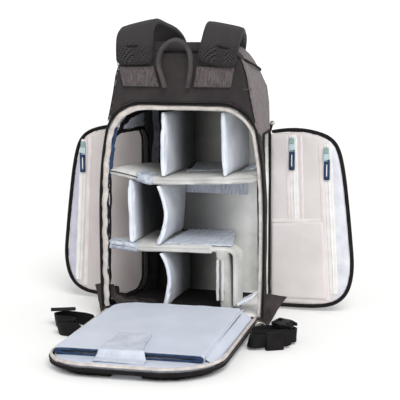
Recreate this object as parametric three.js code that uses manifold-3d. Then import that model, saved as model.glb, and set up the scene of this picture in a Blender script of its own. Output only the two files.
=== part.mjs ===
// A camera backpack standing upright with its back opened flat on the floor and both side doors
// swung wide, in millimetres, +Z up. The open back faces -Y, and the origin is the middle of the
// base, on the floor.
import * as THREE from 'three';
import { mergeVertices } from 'three/addons/utils/BufferGeometryUtils.js';
import Module from 'manifold-3d';

// Body of the bag
const bagHeight = 503;
const bagDepth = 190;
const nearHalf = 157;        // half the width at the open back, where the posts bow out most
const farHalf = 122;         // half the width at the front
const nearCorner = 9;        // plan radius of the corners beside the open back
const farCorner = 38;        // plan radius of the front corners
const clothWall = 3;
const clearance = 0.4;       // between neighbouring pieces
const lidWall = 5;
const lidNearDrop = 27;      // from the top of the bag to the lid's seam at the open back
const lidFarDrop = 56;       // and at the front
const lidSeamNear = bagHeight - lidNearDrop;
const lidSeamFar = bagHeight - lidFarDrop;
const lidPipingRadius = 2.2;
const lidHem = 20;           // the lid's solid starts this far below its lowest seam

// Openings of the body
const openingSill = 21;
const openingDrop = 110;     // from the top of the bag to the open back's upper edge
const openingTop = bagHeight - openingDrop;
const openingCorner = 50;
const sideNearCorner = 30;   // upper near corner of a side opening
const sideFoot = 8;          // and lower near corner
const postWidth = 6;         // dark edge between the open back and the side
const postDepth = 13;
const sideSill = 25;
const sideDrop = 161;        // from the top of the bag to the side openings
const sideTop = bagHeight - sideDrop;
const sideCorner = 28;
const zipBandWidth = 7;      // pale edge inside the open back
const zipBandDepth = 4;
const zipTapeRadius = 1.6;
const cutDepth = 12;         // how far in from the back the cut for the opening reaches
const over = 60;             // how far cutting solids run past what they cut

// Padded lining
const liningPad = 8;
const floorPad = 20.6;
const ceilingPad = 8;
const liningTop = openingTop - 1;

// Yoke, straps and handle
const yokeThickness = 4;
const yokeMargin = 2;        // from the yoke's edge to the side of the bag
const yokeOverlap = 37;      // from the yoke's lower end up to the top of the opening
const yokeDrop = 14;         // from the top of the bag to the yoke's upper edge
const yokeFoot = openingTop - yokeOverlap;
const yokeTop = bagHeight - yokeDrop;
const strapBaseThickness = 7;
const harnessLift = 32;      // from the top of the opening to the seam of the strap bases
const strapBaseFoot = openingTop + harnessLift;
const strapBaseLength = 38;
const strapBaseTop = strapBaseFoot + strapBaseLength;
const strapBaseEdge = 1.5;
const strapWidth = 70;
const strapThickness = 15;
const strapReach = 210;      // from the back panel to the furthest point of the arch
const strapEnd = 225;        // height of the strap's hanging end, behind the bag
const strapEdge = 5;         // rounding of the strap's long edges
const handleWidth = 22;
const handleThickness = 7;
const handleSpan = 54;
const handleRise = 85;
const handleCentre = -5;

// Each strap's own centre as a share of nearHalf, rise from its base to the crest of the arch,
// height by which its outer edge stands above its inner one, lean as it rises, drift sideways on
// its way back, and the lean of its base
const straps = {
  left: { centre: -0.51, rise: 71, roll: 8, lean: -2, drift: 0, baseLean: 11 },
  right: { centre: 0.42, rise: 67, roll: -7, lean: 16, drift: -40, baseLean: -7 },
};

// Padded dividers
const shelfThickness = 13;
const dividerThickness = 8;
const dividerRecess = 2;     // from the back panel's plane to the dividers' near edges
const flapThickness = 2.4;
const hangingFlapDrop = 34;
const middleFlapReach = 70;  // from the front wall towards the open back
const rightFlapReach = 80;
const lowerFlapReach = 120;
const baseFlapFoot = 39;
const baseFlapRise = 29;
const cellBlockNear = 61;    // left side of the low padded block
const cellBlockWidth = 23;
const cellBlockDepth = 88;
const cellBlockSlit = 5;

// Side doors
const hingeDepth = 160;      // from the back panel to the doors' hinge
const doorWidth = 151;
const doorLift = 12;
const doorTopGap = 4;        // from the top of the side openings down to the doors' tops
const doorHeight = sideTop - doorLift - doorTopGap;
const doorThickness = 8;
const doorRimRadius = 3.2;
const leftDoorTurn = 8;      // degrees past square, towards the open back
const rightDoorTurn = 1;
const zipTapeWidth = 17;
const zipTapeThickness = 1.4;
const pocketThickness = 2;
const doorRoot = 8;          // the door runs on this far into the body before it is trimmed
const pullCordLength = 23;
const pullCordWidth = 9;
const pullCordRadius = 1.9;
const tagLength = 36;
const tagWidth = 11;
const tagThickness = 4;
const tagSlot = 4.5;

// Back panel, folded down on the floor
const panelHalf = 135;
const panelLength = 350;
const leftPanelCorner = 72;
const rightPanelCorner = 90;
const hingeCorner = 6;
const panelTurn = 3;         // degrees that the panel lies askew
const backPadThickness = 12.6;
const backPadInset = 9;
const backPadEdge = 4;
const spineGap = 46;         // channel between the two outer pads
const panelThickness = 8;
const panelZipWidth = 6;
const panelTeethHeight = 6;
const panelBandHeight = 5;
const sleeveHalf = 114;
const sleeveStart = 14;      // from the hinge to the closed end of the laptop sleeve
const sleeveLength = 290;
const sleeveHeight = 17;
const sleeveMouth = 11;
const sleeveWall = 2.5;
const sleeveCorner = 10;
const sleeveHiddenCorner = 32;
const sleeveFlare = 13;      // the left side spreads this much by the mouth
const tabOffset = -20;       // from the panel's middle to the closing tab
const bindingDepth = 5;
const tabNarrow = 27;        // half widths of the closing tab
const tabWide = 41;
const tabThickness = 2.4;
const tabReach = 86;         // from the sleeve's mouth back over the sleeve
const tabFold = 28;          // and from its mouth out over the panel

// Base gussets, hip belt and metal parts
const gussetLength = 50;
const gussetHeight = 66;
const gussetThickness = 3.5;
const gussetTurn = 55;       // degrees from the back panel's plane
const gussetLift = 2;
const gussetRoot = 6;        // trimmed away where the gusset meets the post
const webbingWidth = 24;
const webbingThickness = 3;
const webbingLift = 3.2;     // the right webbing lies in its keeper, clear of the floor
const keeperWall = 2.6;
const keeperLength = 30;
const buckleLength = 44;
const buckleWidth = 25;
const buckleThickness = 6;
const sliderLength = 12;
const sliderWidth = 8;
const sliderThickness = 7;
const sliderRoot = 2;        // trimmed away where the door's slider lies on the body
const sliderSeat = 20;       // from the hinge to the panel's slider
const doorSliderLift = 8;    // above the side opening
const ringRadius = 9;
const ringWire = 1.5;
const ringTilt = 35;
const ringLift = 2;

const nearPlane = -bagDepth / 2;
const farPlane = bagDepth / 2;

// Body sections from the floor up: half widths near the open back and at the front, and how far
// the back and the front reach, each as a share of the size that it follows.
const bodySections = [
  { up: 0, near: 0.93, far: 0.9, back: 0.97, front: 0.93 },
  { up: 0.01, near: 0.97, far: 0.97, back: 0.995, front: 0.98 },
  { up: 0.026, near: 0.98, far: 1, back: 1, front: 1 },
  { up: 0.15, near: 0.997, far: 1, back: 1, front: 1 },
  { up: 0.3, near: 1, far: 1, back: 1, front: 1 },
  { up: 0.45, near: 0.998, far: 1, back: 1, front: 1 },
  { up: 0.56, near: 0.975, far: 1, back: 1, front: 1 },
  { up: 0.64, near: 0.94, far: 1, back: 1, front: 1 },
  { up: 0.71, near: 0.892, far: 1, back: 1, front: 1 },
  { up: 0.78, near: 0.84, far: 1, back: 1, front: 1 },
  { up: 0.84, near: 0.803, far: 0.97, back: 1, front: 1 },
  { up: 0.885, near: 0.78, far: 0.875, back: 1, front: 0.985 },
  { up: 0.93, near: 0.735, far: 0.77, back: 0.995, front: 0.95 },
  { up: 0.957, near: 0.685, far: 0.69, back: 0.985, front: 0.9 },
  { up: 0.978, near: 0.61, far: 0.6, back: 0.96, front: 0.83 },
  { up: 0.991, near: 0.52, far: 0.52, back: 0.92, front: 0.74 },
  { up: 1, near: 0.41, far: 0.38, back: 0.85, front: 0.6 },
];

// Centre lines of the shelves, across as a share of nearHalf and up as a share of bagHeight
const upperShelfLine = [
  { across: -1, up: 0.545 },
  { across: -0.8, up: 0.54 },
  { across: -0.52, up: 0.522 },
  { across: -0.32, up: 0.509 },
  { across: 0, up: 0.512 },
  { across: 0.4, up: 0.518 },
  { across: 0.7, up: 0.526 },
  { across: 1, up: 0.536 },
];
const lowerShelfLine = [
  { across: -1, up: 0.276 },
  { across: -0.8, up: 0.272 },
  { across: -0.5, up: 0.264 },
  { across: -0.2, up: 0.266 },
  { across: 0.1, up: 0.268 },
  { across: 0.37, up: 0.271 },
];

// Upright dividers, from one shelf's middle to the next: where the near edge runs across, and where
// the far edge does
const dividerLines = {
  divider_top_left: [
    { across: -0.23, far: -0.2, up: 0.512 },
    { across: -0.237, far: -0.2, up: 0.6 },
    { across: -0.233, far: -0.2, up: 0.7 },
    { across: -0.235, far: -0.2, up: 0.79 },
  ],
  divider_top_right: [
    { across: 0.5, far: 0.49, up: 0.522 },
    { across: 0.487, far: 0.49, up: 0.6 },
    { across: 0.472, far: 0.48, up: 0.7 },
    { across: 0.462, far: 0.48, up: 0.79 },
  ],
  divider_mid_left: [
    { across: -0.61, far: -0.6, up: 0.27 },
    { across: -0.625, far: -0.6, up: 0.36 },
    { across: -0.632, far: -0.6, up: 0.45 },
    { across: -0.62, far: -0.6, up: 0.53 },
  ],
  divider_mid_curved: [
    { across: -0.34, far: -0.37, up: 0.262 },
    { across: -0.255, far: -0.35, up: 0.31 },
    { across: -0.205, far: -0.33, up: 0.38 },
    { across: -0.24, far: -0.31, up: 0.44 },
    { across: -0.33, far: -0.31, up: 0.512 },
  ],
  divider_low_curved: [
    { across: -0.23, far: -0.27, up: 0.03 },
    { across: -0.185, far: -0.27, up: 0.1 },
    { across: -0.17, far: -0.27, up: 0.16 },
    { across: -0.215, far: -0.27, up: 0.215 },
    { across: -0.31, far: -0.28, up: 0.266 },
  ],
};

// Free border of a side door from the hinge over the top and round to the hinge again: out as a
// share of doorWidth, up as a share of doorHeight
const doorBorder = [
  { out: 0, up: 0.985 },
  { out: 0.3, up: 1 },
  { out: 0.58, up: 0.982 },
  { out: 0.77, up: 0.935 },
  { out: 0.86, up: 0.81 },
  { out: 0.925, up: 0.6 },
  { out: 0.985, up: 0.34 },
  { out: 1, up: 0.22 },
  { out: 0.955, up: 0.105 },
  { out: 0.83, up: 0.035 },
  { out: 0.6, up: 0.006 },
  { out: 0.2, up: 0 },
  { out: 0, up: 0 },
];

// Zips on the doors' inner faces: out and lean as shares of doorWidth, heights of doorHeight
const doorZips = {
  right_inner: { out: 0.26, lean: 0.06, top: 0.985, foot: 0.5, cordTop: 0.965 },
  right_outer: { out: 0.69, lean: 0.13, top: 0.94, foot: 0.075, cordTop: 0.915 },
  left: { out: 0.77, lean: 0.1, top: 0.93, foot: 0.075, cordTop: 0.915 },
};

// Path of a shoulder strap, from its base over the lid to its end behind the bag: along as a share
// of strapReach, rise as a share of the strap's rise above its base, and drop as a share of the
// height from the strap base down to strapEnd
const strapLine = [
  { along: 0, rise: 0, drop: 0 },
  { along: 0.002, rise: 0.45, drop: 0 },
  { along: 0.03, rise: 0.76, drop: 0 },
  { along: 0.11, rise: 0.93, drop: 0 },
  { along: 0.22, rise: 0.975, drop: 0 },
  { along: 0.42, rise: 0.9, drop: 0 },
  { along: 0.72, rise: 0.76, drop: 0 },
  { along: 0.93, rise: 0.48, drop: 0 },
  { along: 1, rise: 0.1, drop: 0.02 },
  { along: 0.985, rise: 0, drop: 0.25 },
  { along: 0.98, rise: 0, drop: 0.6 },
  { along: 0.985, rise: 0, drop: 1 },
];

// Loop of the grab handle: across as a share of half its span, up as a share of its rise
const handleLine = [
  { across: -0.62, up: 0 },
  { across: -0.82, up: 0.24 },
  { across: -1, up: 0.49 },
  { across: -0.87, up: 0.76 },
  { across: -0.42, up: 0.94 },
  { across: 0.06, up: 1 },
  { across: 0.52, up: 0.93 },
  { across: 0.85, up: 0.75 },
  { across: 0.92, up: 0.5 },
  { across: 0.85, up: 0.22 },
  { across: 0.74, up: 0 },
];

// Folds of the hip webbing on the floor, seen from above: across as a share of nearHalf, along as
// a share of panelLength from the back panel's plane
const rightWebbingFolds = [
  { across: 0.8, along: 0.24 },
  { across: 1.2, along: 0.17 },
  { across: 1.38, along: 0.18 },
  { across: 1.44, along: 0.215 },
  { across: 1.36, along: 0.245 },
  { across: 1.1, along: 0.29 },
  { across: 1.0, along: 0.34 },
  { across: 1.06, along: 0.385 },
  { across: 1.2, along: 0.36 },
  { across: 1.43, along: 0.3 },
];
const leftWebbingFolds = [
  { across: -0.75, along: 0.24 },
  { across: -1.05, along: 0.17 },
  { across: -1.25, along: 0.16 },
  { across: -1.35, along: 0.205 },
  { across: -1.28, along: 0.255 },
  { across: -1.08, along: 0.275 },
  { across: -1.03, along: 0.31 },
  { across: -1.12, along: 0.34 },
  { across: -1.17, along: 0.37 },
  { across: -1.08, along: 0.4 },
  { across: -0.8, along: 0.39 },
];

const wasm = await Module();
wasm.setup();

const finishes = {
  heather: { color: '#7a7270', roughness: 0.9, metalness: 0 },
  charcoal: { color: '#413f3f', roughness: 0.85, metalness: 0 },
  black: { color: '#2c2b2a', roughness: 0.8, metalness: 0 },
  mesh: { color: '#39383a', roughness: 0.9, metalness: 0 },
  cream: { color: '#dfd9d4', roughness: 0.8, metalness: 0 },
  velour: { color: '#c6c7c3', roughness: 0.95, metalness: 0 },
  satin: { color: '#d3d8e2', roughness: 0.5, metalness: 0 },
  beige: { color: '#d6ceca', roughness: 0.7, metalness: 0 },
  navy: { color: '#30456a', roughness: 0.7, metalness: 0 },
  green: { color: '#80a497', roughness: 0.8, metalness: 0 },
  white: { color: '#f0eeec', roughness: 0.6, metalness: 0 },
  plastic: { color: '#2b2c2e', roughness: 0.4, metalness: 0 },
  metal: { color: '#a9a6a0', roughness: 0.3, metalness: 0.9 },
};

const bag = new THREE.Group();

function addPiece(name, finish, geometry) {
  const mesh = new THREE.Mesh(geometry, new THREE.MeshStandardMaterial(finishes[finish]));
  mesh.name = name;
  bag.add(mesh);
  return mesh;
}

// A closed mesh as a solid that can be joined and cut
function toSolid(geometry) {
  const bare = geometry.clone();
  bare.deleteAttribute('normal');
  bare.deleteAttribute('uv');
  const merged = mergeVertices(bare, 1e-4);
  return new wasm.Manifold(new wasm.Mesh({
    numProp: 3,
    vertProperties: new Float32Array(merged.attributes.position.array),
    triVerts: new Uint32Array(merged.index.array),
  }));
}

function toGeometry(solid) {
  const mesh = solid.getMesh();
  const geometry = new THREE.BufferGeometry();
  geometry.setAttribute('position', new THREE.BufferAttribute(mesh.vertProperties, 3));
  geometry.setIndex(new THREE.BufferAttribute(mesh.triVerts, 1));
  geometry.computeVertexNormals();
  return geometry;
}

// A solid skinned over rings of as many points each, closed at both ends
function loft(rings) {
  const count = rings[0].length;
  const positions = rings.flat().flatMap((point) => [point.x, point.y, point.z]);
  const triangles = [];
  for (let ring = 0; ring < rings.length - 1; ring += 1) {
    for (let i = 0; i < count; i += 1) {
      const a = ring * count + i;
      const b = ring * count + (i + 1) % count;
      triangles.push([a, b, b + count], [a, b + count, a + count]);
    }
  }
  const last = (rings.length - 1) * count;
  for (let i = 1; i < count - 1; i += 1) {
    triangles.push([0, i + 1, i], [last, last + i, last + i + 1]);
  }
  const geometry = new THREE.BufferGeometry();
  geometry.setAttribute('position', new THREE.Float32BufferAttribute(positions, 3));
  geometry.setIndex(triangles.flat());
  return facingOut(geometry);
}

// Turns the faces round if the mesh is inside out
function facingOut(geometry) {
  const point = geometry.attributes.position;
  const index = geometry.index.array;
  const [a, b, c] = [new THREE.Vector3(), new THREE.Vector3(), new THREE.Vector3()];
  let volume = 0;
  for (let i = 0; i < index.length; i += 3) {
    a.fromBufferAttribute(point, index[i]);
    b.fromBufferAttribute(point, index[i + 1]);
    c.fromBufferAttribute(point, index[i + 2]);
    volume += a.dot(b.cross(c));
  }
  if (volume < 0) {
    for (let i = 0; i < index.length; i += 3) {
      [index[i], index[i + 1]] = [index[i + 1], index[i]];
    }
  }
  geometry.computeVertexNormals();
  return geometry;
}

// A loop of corners, each rounded by its own radius
function roundedLoop(corners, radii, steps) {
  return corners.flatMap((corner, i) => {
    const before = corners[(i + corners.length - 1) % corners.length].clone().sub(corner).normalize();
    const after = corners[(i + 1) % corners.length].clone().sub(corner).normalize();
    return Array.from({ length: steps + 1 }, (_, step) => {
      const turn = (step / steps) * Math.PI / 2;
      return corner.clone()
        .addScaledVector(before, radii[i] * (1 - Math.sin(turn)))
        .addScaledVector(after, radii[i] * (1 - Math.cos(turn)));
    });
  });
}

// A smooth line through points of the plane
function smoothLine(points, steps) {
  return new THREE.SplineCurve(points).getPoints(steps);
}

// The outline of a strip of even thickness along a line
function stripOutline(line, thickness) {
  const sides = line.map((point, i) => {
    const before = line[Math.max(i - 1, 0)];
    const after = line[Math.min(i + 1, line.length - 1)];
    const across = after.clone().sub(before).normalize().rotateAround(new THREE.Vector2(), Math.PI / 2);
    return [
      point.clone().addScaledVector(across, thickness / 2),
      point.clone().addScaledVector(across, -thickness / 2),
    ];
  });
  return [...sides.map((pair) => pair[0]), ...sides.reverse().map((pair) => pair[1])];
}

const planes = {
  plan: [new THREE.Vector3(1, 0, 0), new THREE.Vector3(0, 1, 0), new THREE.Vector3(0, 0, 1)],
  back: [new THREE.Vector3(1, 0, 0), new THREE.Vector3(0, 0, 1), new THREE.Vector3(0, -1, 0)],
  side: [new THREE.Vector3(0, 1, 0), new THREE.Vector3(0, 0, 1), new THREE.Vector3(1, 0, 0)],
};

// An outline drawn in a plane and drawn out across it. Seen from the back, an outline is drawn out
// along Y, seen from the side along X, and in plan along Z.
function prism(outline, plane, from, to, bevel = 0, holes = []) {
  const shape = new THREE.Shape(outline);
  shape.holes = holes.map((hole) => new THREE.Path(hole));
  const geometry = new THREE.ExtrudeGeometry(shape, {
    depth: to - from - 2 * bevel,
    bevelEnabled: bevel > 0,
    bevelSize: bevel,
    bevelThickness: bevel,
    bevelOffset: -bevel,
    bevelSegments: 1,
  });
  geometry.translate(0, 0, plane === 'back' ? bevel - to : bevel + from);
  geometry.applyMatrix4(new THREE.Matrix4().makeBasis(...planes[plane]));
  return geometry;
}

function tube(points, radius, steps, sides) {
  const section = new THREE.Shape();
  section.absarc(0, 0, radius, 0, 2 * Math.PI);
  const path = new THREE.CatmullRomCurve3(points);
  return new THREE.ExtrudeGeometry(section, { extrudePath: path, steps, curveSegments: sides / 2 });
}

function rectangle(x0, z0, x1, z1) {
  return [[x0, z0], [x1, z0], [x1, z1], [x0, z1]].map(([x, z]) => new THREE.Vector2(x, z));
}

function box(x0, x1, y0, y1, z0, z1) {
  return prism(rectangle(x0, y0, x1, y1), 'plan', z0, z1);
}

// Half widths and reach of the body at one height
function bodyAt(z) {
  const up = THREE.MathUtils.clamp(z / bagHeight, 0, 1);
  const next = Math.max(1, bodySections.findIndex((row) => row.up >= up));
  const [low, high] = [bodySections[next - 1], bodySections[next]];
  const share = (up - low.up) / (high.up - low.up);
  const at = (column) => THREE.MathUtils.lerp(low[column], high[column], share);
  return {
    near: at('near') * nearHalf,
    far: at('far') * farHalf,
    back: at('back') * nearPlane,
    front: at('front') * farPlane,
  };
}

// The body's outline at one height, moved in by an inset. Each corner has ringSteps + 1 points.
const ringSteps = 3;

function bodyRing(z, inset) {
  const { near, far, back, front } = bodyAt(z);
  const corners = [
    new THREE.Vector2(inset - near, back + inset),
    new THREE.Vector2(near - inset, back + inset),
    new THREE.Vector2(far - inset, front - inset),
    new THREE.Vector2(inset - far, front - inset),
  ];
  const nearRadius = Math.max(nearCorner - inset, 2);
  const farRadius = Math.min(Math.max(farCorner - inset, 2), (front - back) / 3, far / 2);
  const loop = roundedLoop(corners, [nearRadius, nearRadius, farRadius, farRadius], ringSteps);
  return loop.map((point) => new THREE.Vector3(point.x, point.y, z));
}

function bodySolid(inset, from, to) {
  const between = bodySections.map((row) => row.up * bagHeight).filter((z) => z > from && z < to);
  return toSolid(loft([from, ...between, to].map((z) => bodyRing(z, inset))));
}

// The border of the open back, seen from behind, moved in by an inset. It runs up the right post,
// over the top and down the left one.
function openingLine(inset, sill) {
  const top = openingTop - inset;
  const arcStart = top - openingCorner;
  const levels = [0, 0.14, 0.28, 0.42, 0.56, 0.7, 0.84].map((share) => sill + share * (arcStart - sill));
  const side = levels.map((z) => new THREE.Vector2(bodyAt(z).near - postWidth - inset, z));
  const arc = Array.from({ length: 9 }, (_, step) => {
    const turn = (step / 8) * Math.PI / 2;
    const z = arcStart + openingCorner * Math.sin(turn);
    const x = bodyAt(z).near - postWidth - inset - openingCorner * (1 - Math.cos(turn));
    return new THREE.Vector2(x, z);
  });
  const right = [...side, ...arc];
  const crown = [0.4, 0, -0.4].map((share) => new THREE.Vector2(share * arc.at(-1).x, top));
  const left = right.map((point) => new THREE.Vector2(-point.x, point.y)).reverse();
  return [...right, ...crown, ...left];
}

function rearCut(inset) {
  return toSolid(prism(openingLine(inset, openingSill), 'back', nearPlane - over, nearPlane + cutDepth));
}

// Both side openings in one cut across the bag
function sideCut() {
  const [near, far] = [nearPlane + postDepth, nearPlane + hingeDepth - doorThickness / 2];
  const corners = rectangle(near, sideSill, far, sideTop);
  const loop = roundedLoop(corners, [sideFoot, sideCorner, sideCorner, sideNearCorner], 4);
  return toSolid(prism(loop, 'side', -nearHalf - over, nearHalf + over));
}

// Everything above the lid's slanting seam
function aboveSeam(raise) {
  const slope = (lidSeamFar - lidSeamNear) / bagDepth;
  const line = [2 * nearPlane, 2 * farPlane].map((y) => (
    new THREE.Vector2(y, lidSeamNear + slope * (y - nearPlane) + raise)
  ));
  const far = bagHeight + over;
  const outline = [...line, new THREE.Vector2(2 * farPlane, far), new THREE.Vector2(2 * nearPlane, far)];
  return toSolid(prism(outline, 'side', -nearHalf - over, nearHalf + over));
}

// Trims what lies against the outside of the body
function clearOfBody(geometry) {
  return toGeometry(toSolid(geometry).subtract(bodySolid(-clearance, 0, bagHeight)));
}

function makeShell() {
  const hollow = bodySolid(clothWall, clothWall, bagHeight);
  const shell = bodySolid(0, 0, bagHeight)
    .subtract(hollow)
    .subtract(rearCut(0))
    .subtract(sideCut())
    .subtract(aboveSeam(-clearance / 2));
  return toGeometry(shell);
}

function makeLid() {
  const foot = lidSeamFar - lidHem;
  const hollow = bodySolid(lidWall, foot - lidHem, bagHeight - lidWall);
  const lid = bodySolid(0, foot, bagHeight)
    .subtract(hollow)
    .intersect(aboveSeam(clearance / 2));
  return toGeometry(lid);
}

// A cord sewn over the lid's seam, round the front from one back corner to the other
function makeLidPiping() {
  const slope = (lidSeamFar - lidSeamNear) / bagDepth;
  const ring = bodyRing((lidSeamNear + lidSeamFar) / 2, -lidPipingRadius - clearance);
  const points = ring.slice(2 * ringSteps + 1).map((point) => {
    const z = lidSeamNear + slope * (point.y - nearPlane);
    const outer = bodyRing(z, -lidPipingRadius - clearance)[ring.indexOf(point)];
    return new THREE.Vector3(outer.x, outer.y, lidSeamNear + slope * (outer.y - nearPlane));
  });
  const nearLeft = new THREE.Vector3(-points[0].x, points[0].y, points[0].z);
  return clearOfBody(tube([...points, nearLeft], lidPipingRadius, 26, 6));
}

function makeLining() {
  const skin = clothWall + clearance;
  const inner = skin + liningPad;
  const floor = skin + floorPad;
  const ceiling = liningTop - ceilingPad;
  const face = nearPlane + zipBandDepth + clearance;
  const back = box(-2 * nearHalf, 2 * nearHalf, 2 * nearPlane, face, 0, bagHeight);
  const lining = bodySolid(skin, skin, liningTop)
    .subtract(bodySolid(inner, floor, ceiling))
    .subtract(rearCut(clearance))
    .subtract(sideCut())
    .subtract(toSolid(back));
  return toGeometry(lining);
}

// The room inside the lining, with a clearance
function cavity() {
  const skin = clothWall + clearance;
  const inner = skin + liningPad + clearance;
  const [floor, ceiling] = [skin + floorPad + clearance, liningTop - ceilingPad - clearance];
  const start = nearPlane + zipBandDepth + clearance + dividerRecess;
  const mouthLine = openingLine(zipBandWidth + 2 * clearance, openingSill);
  const mouth = toSolid(prism(mouthLine, 'back', start, nearPlane + inner + 1));
  const between = box(-2 * nearHalf, 2 * nearHalf, start, 2 * farPlane, floor, ceiling);
  return bodySolid(inner, floor, ceiling).add(mouth).intersect(toSolid(between));
}

function linePoints(rows, column = 'across') {
  return rows.map((row) => new THREE.Vector2(row[column] * nearHalf, row.up * bagHeight));
}

// A padded slab from the open back to the front wall, along a line seen from behind that may
// change to another by the far edge
function slab(rows, thickness, farColumn = 'across') {
  const outlines = ['across', farColumn].map((column) => (
    stripOutline(smoothLine(linePoints(rows, column), 12), thickness)
  ));
  const depths = [nearPlane, farPlane];
  return toSolid(loft(depths.map((y, i) => (
    outlines[i].map((point) => new THREE.Vector3(point.x, y, point.y))
  ))));
}

// Height of a shelf's centre line at one distance across
function shelfHeight(rows, x) {
  const line = smoothLine(linePoints(rows), 60);
  const next = Math.max(1, line.findIndex((point) => point.x >= x));
  const [low, high] = [line[next - 1], line[next]];
  return THREE.MathUtils.mapLinear(x, low.x, high.x, low.y, high.y);
}

// A thin flap that lies on a shelf or hangs under its far edge
function shelfFlap(rows, x0, x1, offset, y0, y1) {
  const steps = 8;
  const line = Array.from({ length: steps + 1 }, (_, step) => {
    const x = THREE.MathUtils.lerp(x0, x1, step / steps);
    return new THREE.Vector2(x, shelfHeight(rows, x) + offset);
  });
  return prism(stripOutline(line, flapThickness), 'back', y0, y1);
}

function makeDividers() {
  const room = cavity();
  const shelves = {
    upper: slab(upperShelfLine, shelfThickness),
    lower: slab(lowerShelfLine, shelfThickness),
  };
  const aroundUpper = slab(upperShelfLine, shelfThickness + 2 * clearance);
  const aroundLower = slab(lowerShelfLine, shelfThickness + 2 * clearance);
  addPiece('shelf_upper', 'velour', toGeometry(shelves.upper.intersect(room)));
  addPiece('shelf_lower', 'velour', toGeometry(shelves.lower.intersect(room)));
  for (const [name, rows] of Object.entries(dividerLines)) {
    const divider = slab(rows, dividerThickness, 'far').subtract(aroundUpper).subtract(aroundLower);
    addPiece(name, 'satin', toGeometry(divider.intersect(room)));
  }
  makeCellBlock(room, aroundLower);
}

// The low block at the right end of the lower shelf, folded from one pad with a slit down its face
function makeCellBlock(room, aroundShelf) {
  const top = shelfHeight(lowerShelfLine, cellBlockNear - 1) + shelfThickness;
  const lean = 0.6 * cellBlockWidth;
  const outline = [
    new THREE.Vector2(cellBlockNear + lean, 0),
    new THREE.Vector2(cellBlockNear + cellBlockWidth + 0.5 * lean, 0),
    new THREE.Vector2(cellBlockNear + cellBlockWidth, top),
    new THREE.Vector2(cellBlockNear, top),
  ];
  const slitStart = cellBlockNear + 0.6 * cellBlockWidth;
  const slit = box(slitStart, slitStart + cellBlockSlit, 2 * nearPlane, nearPlane + 0.7 * cellBlockDepth,
    0.42 * top, 0.9 * top);
  const block = toSolid(prism(outline, 'back', 2 * nearPlane, nearPlane + cellBlockDepth))
    .subtract(aroundShelf)
    .subtract(toSolid(slit))
    .intersect(room);
  addPiece('divider_low_block', 'velour', toGeometry(block));
}

// The shelves' sewn flaps: two lie on the upper shelf and one on the lower, one hangs under the
// upper shelf's far edge and one leans in the lowest corner
function makeFlaps() {
  const room = cavity();
  const wall = farPlane - clothWall - liningPad - 3 * clearance;
  const lying = shelfThickness / 2 + clearance + flapThickness / 2;
  const addFlap = (name, geometry) => {
    addPiece(name, 'satin', toGeometry(toSolid(geometry).intersect(room)));
  };
  const across = (share) => share * nearHalf;
  const lay = (shelf, from, to, reach) => (
    shelfFlap(shelf, across(from), across(to), lying, wall - reach, wall)
  );
  addFlap('cell_flap_middle', lay(upperShelfLine, -0.15, 0.43, middleFlapReach));
  addFlap('cell_flap_right', lay(upperShelfLine, 0.55, 0.66, rightFlapReach));
  addFlap('shelf_flap_lower', lay(lowerShelfLine, -0.16, 0.35, lowerFlapReach));
  const hem = shelfHeight(upperShelfLine, across(-0.15)) - shelfThickness / 2 - 2 * clearance;
  const hanging = rectangle(across(-0.15), hem - hangingFlapDrop, across(0.45), hem);
  addFlap('shelf_flap_upper', prism(hanging, 'back', wall - flapThickness, wall));
  const low = [
    new THREE.Vector2(across(0.65), baseFlapFoot),
    new THREE.Vector2(across(0.8), baseFlapFoot + 0.48 * baseFlapRise),
    new THREE.Vector2(across(0.9), baseFlapFoot + baseFlapRise),
  ];
  const leaning = stripOutline(smoothLine(low, 6), 2 * flapThickness);
  addFlap('base_flap', prism(leaning, 'back', nearPlane, nearPlane / 3));
}

function makeRearEdge() {
  const outer = openingLine(clearance, openingSill + clearance);
  const inner = openingLine(clearance + zipBandWidth, openingSill + clearance);
  const band = prism([...outer, ...inner.reverse()], 'back', nearPlane, nearPlane + zipBandDepth);
  addPiece('rear_zip_band', 'cream', band);
  const line = openingLine(-postWidth / 2, openingSill + zipTapeRadius);
  const seat = nearPlane - zipTapeRadius - clearance;
  const points = line.map((point) => new THREE.Vector3(point.x, seat, point.y));
  addPiece('rear_zip_tape', 'black', tube(points, zipTapeRadius, 38, 4));
}

function makeYoke() {
  const levels = Array.from({ length: 10 }, (_, step) => yokeFoot + (step / 9) * (yokeTop - yokeFoot));
  const right = levels.map((z) => new THREE.Vector2(bodyAt(z).near - yokeMargin, z));
  const left = right.map((point) => new THREE.Vector2(-point.x, point.y)).reverse();
  const front = nearPlane - clearance;
  const plate = toSolid(prism([...right, ...left], 'back', front - yokeThickness, front, 1));
  const clearOfTape = postWidth / 2 + zipTapeRadius + 2 * clearance;
  return toGeometry(plate.subtract(rearCut(-clearOfTape)));
}

// The sewn lower end of a shoulder strap, a leaning four-sided patch on the yoke
function makeStrapBase({ centre, baseLean }) {
  const half = strapWidth / 2;
  const outline = [
    new THREE.Vector2(centre + baseLean - half, strapBaseFoot),
    new THREE.Vector2(centre + baseLean + half, strapBaseFoot),
    new THREE.Vector2(centre + half, strapBaseTop),
    new THREE.Vector2(centre - half, strapBaseTop),
  ];
  const front = nearPlane - 2 * clearance - yokeThickness;
  return prism(outline, 'back', front - strapBaseThickness, front, strapBaseEdge);
}

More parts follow.
